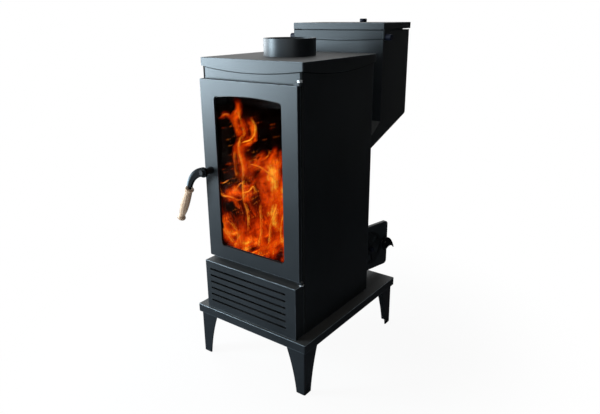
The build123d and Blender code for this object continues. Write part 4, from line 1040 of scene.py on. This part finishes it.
# Pressed pellets lying every way in the pot; a ring is a place along one and a share of its radius
pelletShape = {"count": 230, "reach": 44, "middle": (176.5, 316), "mound": 26, "moundReach": 50,
               "settle": (-9, 3), "tilt": 0.45, "length": (9, 18), "radius": (2.7, 3.1), "sides": 9,
               "rings": ((-0.5, 0.55), (-0.45, 0.95), (0.0, 1.0), (0.45, 0.95), (0.5, 0.55))}


def heapPellets():
    look, sides, rings = pelletShape, pelletShape["sides"], pelletShape["rings"]
    middle, bed = look["middle"]
    end = (len(rings) - 1) * sides
    pellet = [*stripFaces(len(rings), sides), tuple(reversed(range(sides))), tuple(range(end, end + sides))]
    draw = random.Random(fire["seed"])
    points, faces = [], []
    for _ in range(look["count"]):
        reach = look["reach"] * math.sqrt(draw.random())
        around = draw.uniform(0, 2 * math.pi)
        mound = look["mound"] * (1 - (reach / look["moundReach"]) ** 2)
        place = Vector((reach * math.cos(around), middle + reach * math.sin(around),
                        bed + mound + draw.uniform(*look["settle"])))
        axis = Vector([draw.uniform(-most, most) for most in (1, 1, look["tilt"])]).normalized()
        side = axis.orthogonal().normalized()
        other = axis.cross(side)
        length, radius = draw.uniform(*look["length"]), draw.uniform(*look["radius"])
        faces += shifted(pellet, len(points))
        for along, wide in rings:
            for k in range(sides):
                turn = 2 * math.pi * k / sides
                out = (side * math.cos(turn) + other * math.sin(turn)) * radius * wide
                points.append(at(*(place + axis * (along * length) + out)))
    heap = buildMesh("emberHeap", points, faces)
    wearing(heap, emberPaint())
    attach(heap, "stove")


# Sparks: grains of eight faces; x and z are their ends and where most of them are
sparkShape = {"count": 120, "size": (1.1, 2.0), "x": (-141, 120, -90), "y": (6, 30), "z": (440, 800, 620),
              "corners": ((1, 0, 0), (0, 1, 0), (-1, 0, 0), (0, -1, 0), (0, 0, 1.3), (0, 0, -1.1))}


def throwSparks():
    look = sparkShape
    draw = random.Random(fire["seed"] + 1)
    points, faces, grain = [], [], []
    for k in range(4):
        grain += [(k, (k + 1) % 4, 4), ((k + 1) % 4, k, 5)]
    for _ in range(look["count"]):
        size = draw.uniform(*look["size"])
        x, y, z = draw.triangular(*look["x"]), draw.uniform(*look["y"]), draw.triangular(*look["z"])
        faces += shifted(grain, len(points))
        points += [at(x + dx * size, y + dy * size, z + dz * size) for dx, dy, dz in look["corners"]]
    sparks = buildMesh("sparks", points, faces, False)
    wearing(sparks, sparkPaint())
    sparks.visible_shadow = False
    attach(sparks, "stove")


for number, veilLook in enumerate(veils):
    hangVeil(number, veilLook)
drawFlames("flameTongues", drawnTongues, 8, fire["tongueDepth"], tonguePaint("tongueFlame", fire["tongueHem"]))
drawFlames("flameWisps", looseWisps(), 5, fire["wispDepth"], tonguePaint("wispFlame", fire["wispHem"]))
drawFlames("flameStrands", brightStrands, 6, fire["strandDepth"], strandPaint("strandFlame"))
heapPellets()
throwSparks()
print("fire lit")
